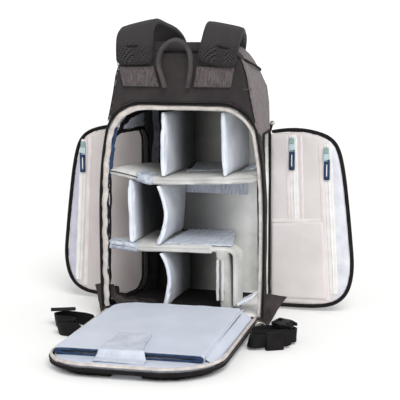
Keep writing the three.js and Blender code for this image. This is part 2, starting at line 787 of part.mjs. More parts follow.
// A shoulder strap that rises from its base, folds over the lid and hangs behind the bag. The
// crest can be rolled so that one side stands higher. The strap leans as it rises and drifts
// sideways on its way back.
function makeStrap({ centre, rise, roll, lean, drift }) {
  const start = nearPlane - 2 * clearance - yokeThickness - strapThickness / 2;
  const foot = strapBaseTop + clearance;
  const line = strapLine.map((row) => new THREE.Vector2(
    start + row.along * (strapReach + strapThickness / 2),
    foot + row.rise * rise - row.drop * (strapBaseTop - strapEnd),
  ));
  const spine = smoothLine(line, 24);
  const rings = spine.map((point, i) => {
    const before = spine[Math.max(i - 1, 0)];
    const after = spine[Math.min(i + 1, spine.length - 1)];
    const run = after.clone().sub(before).normalize();
    const lift = (point.y - foot) / rise;
    const taper = i === spine.length - 1 ? 0.8 : 1;
    const half = taper * strapWidth / 2;
    const shoulder = half - strapEdge;
    const section = [
      [-half, -0.2], [-half, 0.2], [-shoulder, 0.85], [-half * 0.5, 1], [half * 0.5, 1], [shoulder, 0.85],
      [half, 0.2], [half, -0.2], [shoulder, -0.85], [half * 0.5, -1], [-half * 0.5, -1], [-shoulder, -0.85],
    ];
    return section.map(([across, share]) => {
      const height = share * strapThickness / 2;
      const tip = Math.max(lift, 0) * roll * (across / half);
      return new THREE.Vector3(
        centre + across + lean * Math.max(lift, 0) + drift * (point.x - start) / strapReach,
        point.x - run.y * height,
        point.y + run.x * height + tip,
      );
    });
  });
  return loft(rings);
}

function makeHandle() {
  const line = handleLine.map((row) => new THREE.Vector2(
    handleCentre + row.across * (handleSpan + handleThickness) / 2,
    strapBaseFoot + row.up * handleRise,
  ));
  const seat = nearPlane - 2 * clearance - yokeThickness;
  const outline = stripOutline(smoothLine(line, 20), handleThickness);
  return prism(outline, 'back', seat - handleWidth, seat);
}

// Places a door's outline points beside the bag. Side is 1 for the right door and -1 for the left.
function doorPlacement(side, turn) {
  const swing = THREE.MathUtils.degToRad(turn) * -side;
  const hingeX = THREE.MathUtils.lerp(nearHalf, farHalf, hingeDepth / bagDepth);
  return new THREE.Matrix4()
    .makeTranslation(side * hingeX, nearPlane + hingeDepth, doorLift)
    .multiply(new THREE.Matrix4().makeRotationZ(swing));
}

function doorLine(side, steps) {
  const points = doorBorder.map((row) => new THREE.Vector2(row.out * doorWidth, row.up * doorHeight));
  return smoothLine(points, steps).map((point) => new THREE.Vector2(side * Math.max(point.x, 0), point.y));
}

// A side door with its rim, cut back where it meets the body
function makeDoor(name, side, turn) {
  const placement = doorPlacement(side, turn);
  const line = doorLine(side, 30);
  const root = [line.at(-1), line[0]].map((point) => new THREE.Vector2(-side * doorRoot, point.y));
  const board = prism([...line, ...root], 'back', 0, doorThickness, 1.5);
  board.applyMatrix4(placement);
  addPiece(`side_door_${name}`, 'beige', clearOfBody(board));
  const offset = doorRimRadius + 2 * clearance;
  const rimLine = line.map((point, i) => {
    const before = line[Math.max(i - 1, 0)];
    const after = line[Math.min(i + 1, line.length - 1)];
    const out = after.clone().sub(before).normalize().rotateAround(new THREE.Vector2(), side * Math.PI / 2);
    const moved = point.clone().addScaledVector(out, offset);
    return new THREE.Vector3(moved.x, doorThickness / 2, moved.y);
  });
  const rim = tube(rimLine, doorRimRadius, 36, 6);
  rim.applyMatrix4(placement);
  addPiece(`door_rim_${name}`, 'black', clearOfBody(rim));
}

// What is sewn on a door's inner face, drawn in the door's own plane
function addToDoor(name, finish, geometry, side, turn) {
  geometry.applyMatrix4(doorPlacement(side, turn));
  return addPiece(name, finish, geometry);
}

// A zip on a door's inside: its tape, the loop of pull cord at its top and the tag on the cord.
// Out is from the hinge, and the zip leans out by its lean from the top down.
function makeDoorZip(name, side, turn, zip, seat) {
  const { out, lean, top, foot, cordTop } = zip;
  const at = (share) => side * (out + share * lean);
  const line = [new THREE.Vector2(at(0), top), new THREE.Vector2(at(1), foot)];
  const tape = prism(stripOutline(line, zipTapeWidth), 'back', -seat - zipTapeThickness, -seat);
  addToDoor(`zip_tape_${name}`, 'white', tape, side, turn);
  const front = -seat - zipTapeThickness - clearance;
  const reach = cordTop - pullCordLength;
  const gap = pullCordWidth / 2;
  const cordDepth = front - pullCordRadius;
  const cord = tube([
    new THREE.Vector3(at(0) - gap * 0.8, cordDepth, reach),
    new THREE.Vector3(at(0) - gap, cordDepth, reach + 0.5 * pullCordLength),
    new THREE.Vector3(at(0) - gap * 0.6, cordDepth, reach + 0.92 * pullCordLength),
    new THREE.Vector3(at(0) + gap * 0.6, cordDepth, reach + 0.92 * pullCordLength),
    new THREE.Vector3(at(0) + gap, cordDepth, reach + 0.5 * pullCordLength),
    new THREE.Vector3(at(0) + gap * 0.8, cordDepth, reach),
  ], pullCordRadius, 12, 4);
  addToDoor(`pull_cord_${name}`, 'green', cord, side, turn);
  const tagTop = reach - clearance;
  const centre = at(0.1);
  const outline = roundedLoop(
    rectangle(centre - tagWidth / 2, tagTop - tagLength, centre + tagWidth / 2, tagTop),
    Array(4).fill(tagThickness / 2),
    3,
  );
  const slotMargin = (tagWidth - tagSlot) / 2;
  const slot = rectangle(
    centre - tagSlot / 2,
    tagTop - tagLength + slotMargin,
    centre + tagSlot / 2,
    tagTop - 2 * slotMargin,
  ).reverse();
  const tag = prism(outline, 'back', front - tagThickness, front, 0, [slot]);
  addToDoor(`pull_tag_${name}`, 'navy', tag, side, turn);
}

function makeDoorFittings() {
  const pocketTop = 0.49 * doorHeight;
  const pocket = [
    new THREE.Vector2(0.02 * doorWidth, 0.03 * doorHeight),
    new THREE.Vector2(0.72 * doorWidth, 0.045 * doorHeight),
    new THREE.Vector2(0.66 * doorWidth, pocketTop),
    new THREE.Vector2(0.02 * doorWidth, pocketTop - 7),
  ];
  const pocketBoard = prism(pocket, 'back', -clearance - pocketThickness, -clearance, 0.6);
  addToDoor('door_pocket_right', 'beige', pocketBoard, 1, rightDoorTurn);
  for (const [name, side, turn] of [
    ['right_inner', 1, rightDoorTurn],
    ['right_outer', 1, rightDoorTurn],
    ['left', -1, leftDoorTurn],
  ]) {
    const row = doorZips[name];
    const zip = {
      out: row.out * doorWidth,
      lean: row.lean * doorWidth,
      top: row.top * doorHeight,
      foot: row.foot * doorHeight,
      cordTop: row.cordTop * doorHeight,
    };
    makeDoorZip(name, side, turn, zip, clearance);
  }
}

// The back panel's outline seen from above, moved in by an inset. Along runs from the hinge.
function panelOutline(inset, hingeRoom) {
  const half = panelHalf - inset;
  const end = -panelLength + inset;
  const corners = rectangle(-half, end, half, hingeRoom);
  const radii = [leftPanelCorner - inset, rightPanelCorner - inset, hingeCorner, hingeCorner];
  return roundedLoop(corners, radii, 7);
}

// Lays a piece drawn beside the hinge into the folded panel's place
function layPanel(geometry) {
  const turn = THREE.MathUtils.degToRad(panelTurn);
  geometry.rotateZ(turn);
  geometry.translate(0, nearPlane, 0);
  return geometry;
}

function makePanel() {
  const bagFace = nearPlane - clearance;
  const behind = toSolid(box(-2 * nearHalf, 2 * nearHalf, bagFace, 2 * farPlane, -over, bagHeight));
  const hingeRoom = 20;
  const cut = (geometry) => toGeometry(toSolid(layPanel(geometry)).subtract(behind));
  const coreFoot = backPadThickness + clearance;
  const coreTop = coreFoot + panelThickness;
  addPiece('back_panel', 'satin', cut(prism(panelOutline(0, hingeRoom), 'plan', coreFoot, coreTop)));

  const ring = (from, to, low, high) => {
    const outer = prism(panelOutline(from, hingeRoom), 'plan', low, high);
    const inner = prism(panelOutline(to, 2 * hingeRoom), 'plan', low - over, high + over);
    return toSolid(layPanel(outer)).subtract(toSolid(layPanel(inner))).subtract(behind);
  };
  const teethTop = coreFoot + panelTeethHeight;
  const outerEdge = -clearance - panelZipWidth;
  addPiece('panel_zip_teeth', 'black', toGeometry(ring(outerEdge, -clearance, coreFoot, teethTop)));
  const bandFoot = teethTop + clearance;
  const band = ring(outerEdge + 1, -clearance, bandFoot, bandFoot + panelBandHeight);
  addPiece('panel_zip_band', 'cream', toGeometry(band));

  for (const [name, side] of [['left', -1], ['right', 1]]) {
    const outline = panelOutline(backPadInset - panelZipWidth, 2 * hingeRoom);
    const pad = toSolid(layPanel(prism(outline, 'plan', 0, backPadThickness, backPadEdge)));
    const channel = side * spineGap / 2;
    const far = side * 2 * panelHalf;
    const [low, high] = [Math.min(channel, far), Math.max(channel, far)];
    const keep = box(low, high, -2 * panelLength, hingeRoom, -over, over);
    const half = pad.intersect(toSolid(layPanel(keep))).subtract(behind);
    addPiece(`back_pad_${name}`, 'black', toGeometry(half));
  }
  makeSleeve(coreTop + clearance);
}

// The laptop sleeve on the panel: a flat pocket that opens at the far end, with a bound mouth and
// a closing tab folded over it
function makeSleeve(seat) {
  const back = -sleeveStart;
  const mouth = -sleeveStart - sleeveLength;
  const side = [
    new THREE.Vector2(mouth, seat),
    new THREE.Vector2(back, seat),
    new THREE.Vector2(back, seat + sleeveHeight),
    new THREE.Vector2(mouth, seat + sleeveMouth),
  ];
  const wall = sleeveWall;
  const hollow = [
    new THREE.Vector2(mouth - over, seat + wall),
    new THREE.Vector2(back - 2 * wall, seat + wall),
    new THREE.Vector2(back - 2 * wall, seat + sleeveHeight - wall),
    new THREE.Vector2(mouth, seat + sleeveMouth - wall),
    new THREE.Vector2(mouth - over, seat + sleeveMouth - wall),
  ];
  const left = -sleeveHalf - sleeveFlare;
  const planOf = (inset, reach) => [
    new THREE.Vector2(left + inset, mouth - reach),
    new THREE.Vector2(sleeveHalf - inset, mouth - reach),
    new THREE.Vector2(sleeveHalf - inset, back - inset),
    new THREE.Vector2(-sleeveHalf + inset, back - inset),
  ];
  const radii = [1, 1, sleeveCorner, sleeveHiddenCorner];
  const high = 2 * seat + sleeveHeight;
  const room = toSolid(prism(hollow, 'side', left, sleeveHalf))
    .intersect(toSolid(prism(roundedLoop(planOf(wall, over), radii, 4), 'plan', 0, high)));
  const sleeve = toSolid(prism(side, 'side', left, sleeveHalf, 1))
    .intersect(toSolid(prism(roundedLoop(planOf(0, 0), radii, 4), 'plan', 0, high)))
    .subtract(room);
  addPiece('laptop_sleeve', 'satin', layPanel(toGeometry(sleeve)));

  const foot = seat;
  const brow = seat + sleeveMouth;
  const outer = roundedLoop(rectangle(left, foot, sleeveHalf, brow), Array(4).fill(0.49 * sleeveMouth), 4);
  const inner = rectangle(left + wall, foot + wall, sleeveHalf - wall, brow - wall);
  const bindingBack = mouth - clearance;
  const binding = prism(outer, 'back', bindingBack - bindingDepth, bindingBack, 0, [inner.reverse()]);
  addPiece('sleeve_binding', 'navy', layPanel(binding));

  const onSleeve = tabThickness / 2 + clearance;
  const slope = (sleeveHeight - sleeveMouth) / sleeveLength;
  const onTop = (y) => seat + sleeveMouth + slope * (y - mouth) + 1.2 * onSleeve;
  const lip = bindingBack - bindingDepth;
  const tabLine = [
    { y: mouth + tabReach, z: onTop(mouth + tabReach), half: tabNarrow },
    { y: mouth + tabReach / 2, z: onTop(mouth + tabReach / 2), half: tabNarrow * 1.08 },
    { y: mouth, z: onTop(mouth), half: (tabNarrow + tabWide) / 2 },
    { y: lip - clearance, z: onTop(lip), half: tabWide * 0.9 },
    { y: lip - 3 * onSleeve, z: seat + sleeveMouth * 0.62, half: tabWide * 0.94 },
    { y: lip - 0.45 * tabFold, z: seat + 1.2 * onSleeve, half: tabWide },
    { y: lip - tabFold, z: seat + onSleeve, half: tabWide },
  ];
  const rings = tabLine.map((row, i) => {
    const before = tabLine[Math.max(i - 1, 0)];
    const after = tabLine[Math.min(i + 1, tabLine.length - 1)];
    const run = new THREE.Vector2(after.y - before.y, after.z - before.z).normalize();
    const [dy, dz] = [run.y * tabThickness / 2, -run.x * tabThickness / 2];
    const middle = tabOffset + i * 1.2;
    return [
      new THREE.Vector3(middle - row.half, row.y + dy, row.z + dz),
      new THREE.Vector3(middle + row.half, row.y + dy, row.z + dz),
      new THREE.Vector3(middle + row.half, row.y - dy, row.z - dz),
      new THREE.Vector3(middle - row.half, row.y - dy, row.z - dz),
    ];
  });
  addPiece('sleeve_tab', 'satin', layPanel(loft(rings)));
}

// A three-cornered wing of cloth at the foot of a post, flaring out beside the bag
function makeGusset(name, side) {
  const outline = [
    new THREE.Vector2(-gussetRoot, gussetLift),
    new THREE.Vector2(0.08 * gussetLength, gussetLift),
    new THREE.Vector2(0.62 * gussetLength, 0.52 * gussetHeight),
    new THREE.Vector2(gussetLength, 0.78 * gussetHeight),
    new THREE.Vector2(-gussetRoot, gussetHeight),
  ].map((point) => new THREE.Vector2(side * point.x, point.y));
  const wing = prism(outline, 'back', 0, gussetThickness, 0.8);
  wing.rotateZ(THREE.MathUtils.degToRad(side * gussetTurn));
  wing.translate(side * (nearHalf - 1), nearPlane + postWidth, 0);
  addPiece(`base_gusset_${name}`, 'black', clearOfBody(wing));
}

function foldPoint(row) {
  return new THREE.Vector2(row.across * nearHalf, nearPlane - row.along * panelLength);
}

// Folded hip webbing standing on its edge beside the panel, with its buckle on top
function makeWebbing(name, folds, lift) {
  const spine = smoothLine(folds.map(foldPoint), 32);
  const strip = toSolid(prism(stripOutline(spine, webbingThickness), 'plan', lift, lift + webbingWidth));
  const edge = panelOutline(-panelZipWidth - 2 * clearance, over);
  const panelSpace = toSolid(layPanel(prism(edge, 'plan', -over, over)));
  addPiece(`hip_webbing_${name}`, 'black', toGeometry(strip.subtract(panelSpace)));
}

// One half of a side-release buckle: a body with two bars and three prongs
function makeBuckle(name, centre, turn, tilt) {
  const body = 0.5 * buckleLength;
  const half = buckleWidth / 2;
  const prong = buckleWidth / 6;
  const outline = [
    [-body, -half + 2], [0, -half], [body * 0.3, -half], [body, -half + prong], [body, -half + 1.9 * prong],
    [body * 0.35, -half + 1.7 * prong], [body * 0.3, -prong / 2], [body * 0.9, -prong / 2],
    [body * 0.9, prong / 2], [body * 0.3, prong / 2], [body * 0.35, half - 1.7 * prong],
    [body, half - 1.9 * prong], [body, half - prong], [body * 0.3, half], [0, half], [-body, half - 2],
  ].map(([x, y]) => new THREE.Vector2(x, y));
  const slot = rectangle(-0.8 * body, -half + 5, -0.45 * body, half - 5).reverse();
  const geometry = prism(outline, 'plan', -buckleThickness / 2, buckleThickness / 2, 1, [slot]);
  geometry.rotateX(THREE.MathUtils.degToRad(tilt));
  geometry.rotateZ(THREE.MathUtils.degToRad(turn));
  geometry.computeBoundingBox();
  geometry.translate(centre.x, centre.y, centre.z - geometry.boundingBox.min.z);
  addPiece(`hip_buckle_${name}`, 'plastic', geometry);
}

function makeHipBelt() {
  makeWebbing('right', rightWebbingFolds, webbingLift);
  makeWebbing('left', leftWebbingFolds, 0);
  const rightTop = webbingLift + webbingWidth + clearance;
  const leftTop = webbingWidth + clearance;
  makeBuckle('right', new THREE.Vector3(1.31 * nearHalf, nearPlane - 0.2 * panelLength, rightTop), -32, 12);
  makeBuckle('left', new THREE.Vector3(-1.27 * nearHalf, nearPlane - 0.2 * panelLength, leftTop), 205, 12);

  const [start, end] = rightWebbingFolds.slice(-2).map(foldPoint);
  const inner = webbingThickness / 2 + 3 * clearance;
  const top = webbingLift + webbingWidth;
  const outline = rectangle(-inner - keeperWall, 0, inner + keeperWall, top + keeperWall);
  const hole = rectangle(-inner, webbingLift - clearance, inner, top + clearance).reverse();
  const keeper = prism(outline, 'side', -keeperLength / 2, keeperLength / 2, 0, [hole]);
  keeper.rotateZ(end.clone().sub(start).angle());
  const seat = start.clone().lerp(end, 0.3);
  keeper.translate(seat.x, seat.y, 0);
  addPiece('webbing_keeper', 'black', keeper);
}

// The metal zip sliders that show: one over the right door's hinge, one at the panel's corner with
// a ring through it
function makeSliders() {
  const hingeX = THREE.MathUtils.lerp(bodyAt(sideTop).near, farHalf, hingeDepth / bagDepth);
  const door = box(-sliderWidth / 2, sliderWidth / 2, 0, sliderWidth, 0, sliderLength);
  door.translate(
    hingeX + sliderWidth / 2 - sliderRoot,
    nearPlane + hingeDepth - sliderWidth / 2,
    sideTop + doorSliderLift,
  );
  addPiece('door_slider', 'metal', clearOfBody(door));
  const cornerX = panelHalf + panelZipWidth + 2 * clearance;
  const foot = backPadThickness;
  const end = -sliderSeat - sliderLength;
  const body = box(cornerX, cornerX + sliderWidth, end, -sliderSeat, foot, foot + sliderThickness);
  addPiece('panel_slider', 'metal', layPanel(body));
  const ring = new THREE.LatheGeometry(
    Array.from({ length: 6 }, (_, step) => {
      const turn = (step / 5) * 2 * Math.PI;
      return new THREE.Vector2(ringRadius + ringWire * Math.cos(turn), ringWire * Math.sin(turn));
    }),
    16,
  );
  ring.rotateX(Math.PI / 2);
  ring.rotateX(THREE.MathUtils.degToRad(ringTilt));
  ring.translate(cornerX + ringRadius + ringWire, end - ringRadius, foot + ringLift);
  addPiece('panel_ring', 'metal', layPanel(ring));
}

addPiece('outer_shell', 'heather', makeShell());
addPiece('top_lid', 'heather', makeLid());
addPiece('lid_piping', 'black', makeLidPiping());
addPiece('padded_lining', 'velour', makeLining());
makeRearEdge();
makeDividers();
makeFlaps();
addPiece('back_yoke', 'charcoal', makeYoke());
for (const [name, strap] of Object.entries(straps)) {
  const placed = { ...strap, centre: strap.centre * nearHalf };
  addPiece(`strap_base_${name}`, 'heather', makeStrapBase(placed));
  addPiece(`shoulder_strap_${name}`, 'mesh', makeStrap(placed));
}
addPiece('grab_handle', 'charcoal', makeHandle());
makeDoor('left', -1, leftDoorTurn);
makeDoor('right', 1, rightDoorTurn);
makeDoorFittings();
makePanel();
makeGusset('left', -1);
makeGusset('right', 1);
makeHipBelt();
makeSliders();

export default bag;
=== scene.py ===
import math

import bmesh
import bpy
from mathutils import Matrix, Vector, noise
from mathutils.bvhtree import BVHTree


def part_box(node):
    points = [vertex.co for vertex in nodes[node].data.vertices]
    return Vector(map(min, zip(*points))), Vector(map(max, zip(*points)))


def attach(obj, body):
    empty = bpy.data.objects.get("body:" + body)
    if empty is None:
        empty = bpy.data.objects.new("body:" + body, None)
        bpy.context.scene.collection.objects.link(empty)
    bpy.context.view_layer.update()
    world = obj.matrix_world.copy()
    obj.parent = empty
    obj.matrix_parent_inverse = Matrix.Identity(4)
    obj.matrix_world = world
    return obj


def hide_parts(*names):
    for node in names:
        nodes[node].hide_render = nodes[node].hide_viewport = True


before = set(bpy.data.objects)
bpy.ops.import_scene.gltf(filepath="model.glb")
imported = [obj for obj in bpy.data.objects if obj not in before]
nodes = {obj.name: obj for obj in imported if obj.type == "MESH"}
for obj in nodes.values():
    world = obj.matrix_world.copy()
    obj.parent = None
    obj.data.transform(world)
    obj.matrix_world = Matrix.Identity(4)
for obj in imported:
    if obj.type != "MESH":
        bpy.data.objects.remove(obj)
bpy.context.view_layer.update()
mm = 0.001
scene = bpy.context.scene
bandScale = 0.314 / 2  # makes one band of a wave texture as wide as its pitch
rearward = Vector((0, -1, 0))
upward = Vector((0, 0, 1))
print("frame loaded:", len(nodes), "nodes")


# Camera, at the height and distance that the bag's own square corners give
view = {
    "place": (600.7, -2015.5, 519.3),
    "turn": 16.4,  # degrees to the left of straight ahead
    "dip": 8.3,
    "focalPixels": 1144.4,
    "framePixels": 400,
    "sensor": 36.0,
}

cameraData = bpy.data.cameras.new("camera")
cameraData.sensor_width = view["sensor"]
cameraData.lens = view["focalPixels"] / view["framePixels"] * view["sensor"]
cameraData.clip_end = 30
camera = bpy.data.objects.new("camera", cameraData)
scene.collection.objects.link(camera)
camera.location = Vector(view["place"]) * mm
camera.rotation_euler = (math.radians(90 - view["dip"]), 0, math.radians(view["turn"]))
scene.camera = camera
scene.view_settings.view_transform = "Standard"


# Studio: a pale floor under a white surround that is dimmer overhead, and one wide soft key light
studio = {
    "floorSize": 14000,
    "floorColour": "#f6f6f5",
    "horizon": 1.15,
    "zenith": 0.55,
    "key": {"turn": 30, "rise": 46, "spread": 36, "strength": 2.1},
}


def linearColour(hexText):
    channels = [int(hexText[i:i + 2], 16) / 255 for i in (1, 3, 5)]
    return [c / 12.92 if c <= 0.04045 else ((c + 0.055) / 1.055) ** 2.4 for c in channels] + [1.0]


def addNode(tree, kind, settings=None, links=None):
    node = tree.nodes.new(kind)
    for name, value in (settings or {}).items():
        if isinstance(name, str) and hasattr(node, name):
            setattr(node, name, value)
        else:
            node.inputs[name].default_value = value
    for name, source in (links or {}).items():
        tree.links.new(source, node.inputs[name])
    return node


def startMaterial(name, roughness, sheen=0.0, metallic=0.0, specular=0.5):
    material = bpy.data.materials.new(name)
    material.use_nodes = True
    shader = material.node_tree.nodes["Principled BSDF"]
    shader.inputs["Roughness"].default_value = roughness
    shader.inputs["Metallic"].default_value = metallic
    shader.inputs["Sheen Weight"].default_value = sheen
    shader.inputs["Sheen Roughness"].default_value = 0.5
    shader.inputs["Specular IOR Level"].default_value = specular
    return material, material.node_tree, shader


def setUpStudio():
    world = bpy.data.worlds.new("surround")
    world.use_nodes = True
    place = addNode(world.node_tree, "ShaderNodeTexCoord")
    height = addNode(world.node_tree, "ShaderNodeSeparateXYZ", links={0: place.outputs["Generated"]})
    dim = addNode(world.node_tree, "ShaderNodeMapRange", {
        "From Min": 0.08, "From Max": 0.8, "To Min": studio["horizon"], "To Max": studio["zenith"],
    }, {"Value": height.outputs["Z"]})
    world.node_tree.links.new(dim.outputs[0], world.node_tree.nodes["Background"].inputs["Strength"])
    world.node_tree.nodes["Background"].inputs["Color"].default_value = (1, 1, 1, 1)
    scene.world = world
    floorMesh = bmesh.new()
    bmesh.ops.create_grid(floorMesh, x_segments=1, y_segments=1, size=studio["floorSize"] / 2 * mm)
    floor = placeMesh("floor", floorMesh)
    material, tree, shader = startMaterial("paintedFloor", 0.9)
    shader.inputs["Base Color"].default_value = linearColour(studio["floorColour"])
    floor.data.materials.append(material)
    key = studio["key"]
    lightData = bpy.data.lights.new("key", "SUN")
    lightData.angle = math.radians(key["spread"])
    lightData.energy = key["strength"]
    light = bpy.data.objects.new("key", lightData)
    light.rotation_euler = (math.radians(90 - key["rise"]), 0, math.radians(key["turn"]))
    scene.collection.objects.link(light)


def placeMesh(name, bm):
    mesh = bpy.data.meshes.new(name)
    bm.to_mesh(mesh)
    bm.free()
    piece = bpy.data.objects.new(name, mesh)
    scene.collection.objects.link(piece)
    return piece


setUpStudio()
print("camera and studio ready")


# Melange polyester, woven from yarns of mixed greys: seen from afar it breaks into upright streaks
def makeHeather(name, values):
    material, tree, shader = startMaterial(name, 0.93, sheen=0.08, specular=0.2)
    place = addNode(tree, "ShaderNodeTexCoord")
    across = 1 / (values["streakWidth"] * mm)
    along = 1 / (values["streakLength"] * mm)
    streaks = addNode(tree, "ShaderNodeMapping", {"Scale": (across, across, along)},
                      {"Vector": place.outputs["Object"]})
    streakNoise = addNode(tree, "ShaderNodeTexNoise", {"Scale": 1.0, "Detail": 3.0},
                          {"Vector": streaks.outputs[0]})
    fleckNoise = addNode(tree, "ShaderNodeTexNoise", {"Scale": 1 / (values["flecks"] * mm), "Detail": 2.0},
                         {"Vector": place.outputs["Object"]})
    both = addNode(tree, "ShaderNodeMath", {"operation": "MULTIPLY_ADD", 1: 0.45},
                   {0: fleckNoise.outputs[0], 2: streakNoise.outputs[0]})
    share = addNode(tree, "ShaderNodeMapRange", {"From Min": 0.52, "From Max": 0.93},
                    {"Value": both.outputs[0]})
    colour = addNode(tree, "ShaderNodeMix", {
        "data_type": "RGBA", 6: linearColour(values["dark"]), 7: linearColour(values["pale"]),
    }, {0: share.outputs[0]})
    tree.links.new(colour.outputs[2], shader.inputs["Base Color"])
    weave = addNode(tree, "ShaderNodeTexNoise", {"Scale": 1 / (values["thread"] * mm), "Detail": 1.0},
                    {"Vector": place.outputs["Object"]})
    bump = addNode(tree, "ShaderNodeBump", {"Strength": values["depth"], "Distance": 0.6 * mm},
                   {"Height": weave.outputs[0]})
    tree.links.new(bump.outputs[0], shader.inputs["Normal"])
    return material


# Painted shade: cloth deep inside the cells is made greyer to stand for the shade there: it darkens along Y
# into the bag, and on the walls along X as well
def shadeInside(tree, place, colour, values):
    axes = addNode(tree, "ShaderNodeSeparateXYZ", links={0: place.outputs["Object"]})
    share = None
    for axis, start, end, low in values:
        ramp = addNode(tree, "ShaderNodeMapRange", {
            "interpolation_type": "SMOOTHSTEP", "From Min": start * mm, "From Max": end * mm,
            "To Min": 1.0, "To Max": low,
        }, {"Value": axes.outputs[axis]})
        share = ramp if share is None else addNode(tree, "ShaderNodeMath", {"operation": "MULTIPLY"},
                                                   {0: share.outputs[0], 1: ramp.outputs[0]})
    darker = addNode(tree, "ShaderNodeMix", {
        "data_type": "RGBA", "blend_type": "MULTIPLY", 0: 1.0,
    }, {6: colour, 7: share.outputs[0]})
    return darker.outputs[2]


# Plain woven cloths: a flat colour that drifts a little, a crossed weave and soft puckers
def makeWoven(name, values):
    material, tree, shader = startMaterial(name, values["roughness"], values["sheen"],
                                           specular=values["specular"])
    place = addNode(tree, "ShaderNodeTexCoord")
    drift = addNode(tree, "ShaderNodeTexNoise", {"Scale": 1 / (values["drift"] * mm), "Detail": 4.0},
                    {"Vector": place.outputs["Object"]})
    share = addNode(tree, "ShaderNodeMapRange", {"From Min": 0.3, "From Max": 0.7},
                    {"Value": drift.outputs[0]})
    colour = addNode(tree, "ShaderNodeMix", {
        "data_type": "RGBA", 6: linearColour(values["dark"]), 7: linearColour(values["pale"]),
    }, {0: share.outputs[0]})
    shaded = colour.outputs[2]
    if "inside" in values:
        shaded = shadeInside(tree, place, shaded, values["inside"])
    tree.links.new(shaded, shader.inputs["Base Color"])
    heights = []
    for axis in ("X", "Z"):
        wave = addNode(tree, "ShaderNodeTexWave", {
            "bands_direction": axis, "Scale": bandScale / (values["thread"] * mm), "Distortion": 0.0,
        }, {"Vector": place.outputs["Object"]})
        heights.append(wave.outputs["Fac"])
    weave = addNode(tree, "ShaderNodeMath", {"operation": "MAXIMUM"}, {0: heights[0], 1: heights[1]})
    fine = addNode(tree, "ShaderNodeBump", {"Strength": values["weaveDepth"], "Distance": 0.3 * mm},
                   {"Height": weave.outputs[0]})
    pucker = addNode(tree, "ShaderNodeTexNoise", {
        "Scale": 1 / (values["pucker"] * mm), "Detail": 3.0, "Distortion": 0.8,
    }, {"Vector": place.outputs["Object"]})
    coarse = addNode(tree, "ShaderNodeBump", {"Strength": values["puckerDepth"], "Distance": 3 * mm},
                     {"Height": pucker.outputs[0], "Normal": fine.outputs[0]})
    tree.links.new(coarse.outputs[0], shader.inputs["Normal"])
    return material


# Spacer mesh over foam: rows of small holes in a charcoal knit, painted near black as the shade inside them
def makeAirMesh():
    values = {"knit": "#393637", "hole": "#0c0c0c", "pitch": 3.8, "holeSize": 0.34, "roughness": 0.9,
              "flatFrom": 486, "flatTo": 504}
    material, tree, shader = startMaterial("spacerMesh", values["roughness"], sheen=0.05, specular=0.15)
    place = addNode(tree, "ShaderNodeUVMap", {"uv_map": "along"})
    flat = addNode(tree, "ShaderNodeMapping", {
        "Scale": (1 / (values["pitch"] * mm), 2 / (values["pitch"] * mm), 1),
        "Rotation": (0, 0, math.radians(24)),
    }, {"Vector": place.outputs[0]})
    cells = addNode(tree, "ShaderNodeTexVoronoi", {"Scale": 1.0, "Randomness": 0.12},
                    {"Vector": flat.outputs[0]})
    share = addNode(tree, "ShaderNodeMapRange", {
        "From Min": values["holeSize"] - 0.12, "From Max": values["holeSize"] + 0.1,
    }, {"Value": cells.outputs["Distance"]})
    solid = addNode(tree, "ShaderNodeTexCoord")
    axes = addNode(tree, "ShaderNodeSeparateXYZ", links={0: solid.outputs["Object"]})
    smooth = addNode(tree, "ShaderNodeMapRange", {  # the knit is pulled flat where the strap folds over
        "From Min": values["flatFrom"] * mm, "From Max": values["flatTo"] * mm, "To Min": 0.0, "To Max": 0.8,
    }, {"Value": axes.outputs["Z"]})
    filled = addNode(tree, "ShaderNodeMath", {"operation": "MAXIMUM"},
                     {0: share.outputs[0], 1: smooth.outputs[0]})
    colour = addNode(tree, "ShaderNodeMix", {
        "data_type": "RGBA", 6: linearColour(values["hole"]), 7: linearColour(values["knit"]),
    }, {0: filled.outputs[0]})
    tree.links.new(colour.outputs[2], shader.inputs["Base Color"])
    bump = addNode(tree, "ShaderNodeBump", {"Strength": 0.6, "Distance": 0.8 * mm},
                   {"Height": filled.outputs[0]})
    tree.links.new(bump.outputs[0], shader.inputs["Normal"])
    return material


# Brushed loop lining: a short nap that catches light at grazing angles and blurs into soft patches
def makeVelour(name, dark="#b4b4b0", pale="#d0d0cd", inside=None):
    values = {"dark": dark, "pale": pale, "patch": 34, "nap": 1.5}
    material, tree, shader = startMaterial(name, 1.0, sheen=0.15, specular=0.2)
    place = addNode(tree, "ShaderNodeTexCoord")
    patches = addNode(tree, "ShaderNodeTexNoise", {"Scale": 1 / (values["patch"] * mm), "Detail": 5.0},
                      {"Vector": place.outputs["Object"]})
    share = addNode(tree, "ShaderNodeMapRange", {"From Min": 0.3, "From Max": 0.7},
                    {"Value": patches.outputs[0]})
    colour = addNode(tree, "ShaderNodeMix", {
        "data_type": "RGBA", 6: linearColour(values["dark"]), 7: linearColour(values["pale"]),
    }, {0: share.outputs[0]})
    shaded = colour.outputs[2]
    if inside:
        shaded = shadeInside(tree, place, shaded, inside)
    tree.links.new(shaded, shader.inputs["Base Color"])
    nap = addNode(tree, "ShaderNodeTexNoise", {"Scale": 1 / (values["nap"] * mm), "Detail": 2.0},
                  {"Vector": place.outputs["Object"]})
    bump = addNode(tree, "ShaderNodeBump", {"Strength": 0.5, "Distance": 0.7 * mm},
                   {"Height": nap.outputs[0]})
    tree.links.new(bump.outputs[0], shader.inputs["Normal"])
    return material


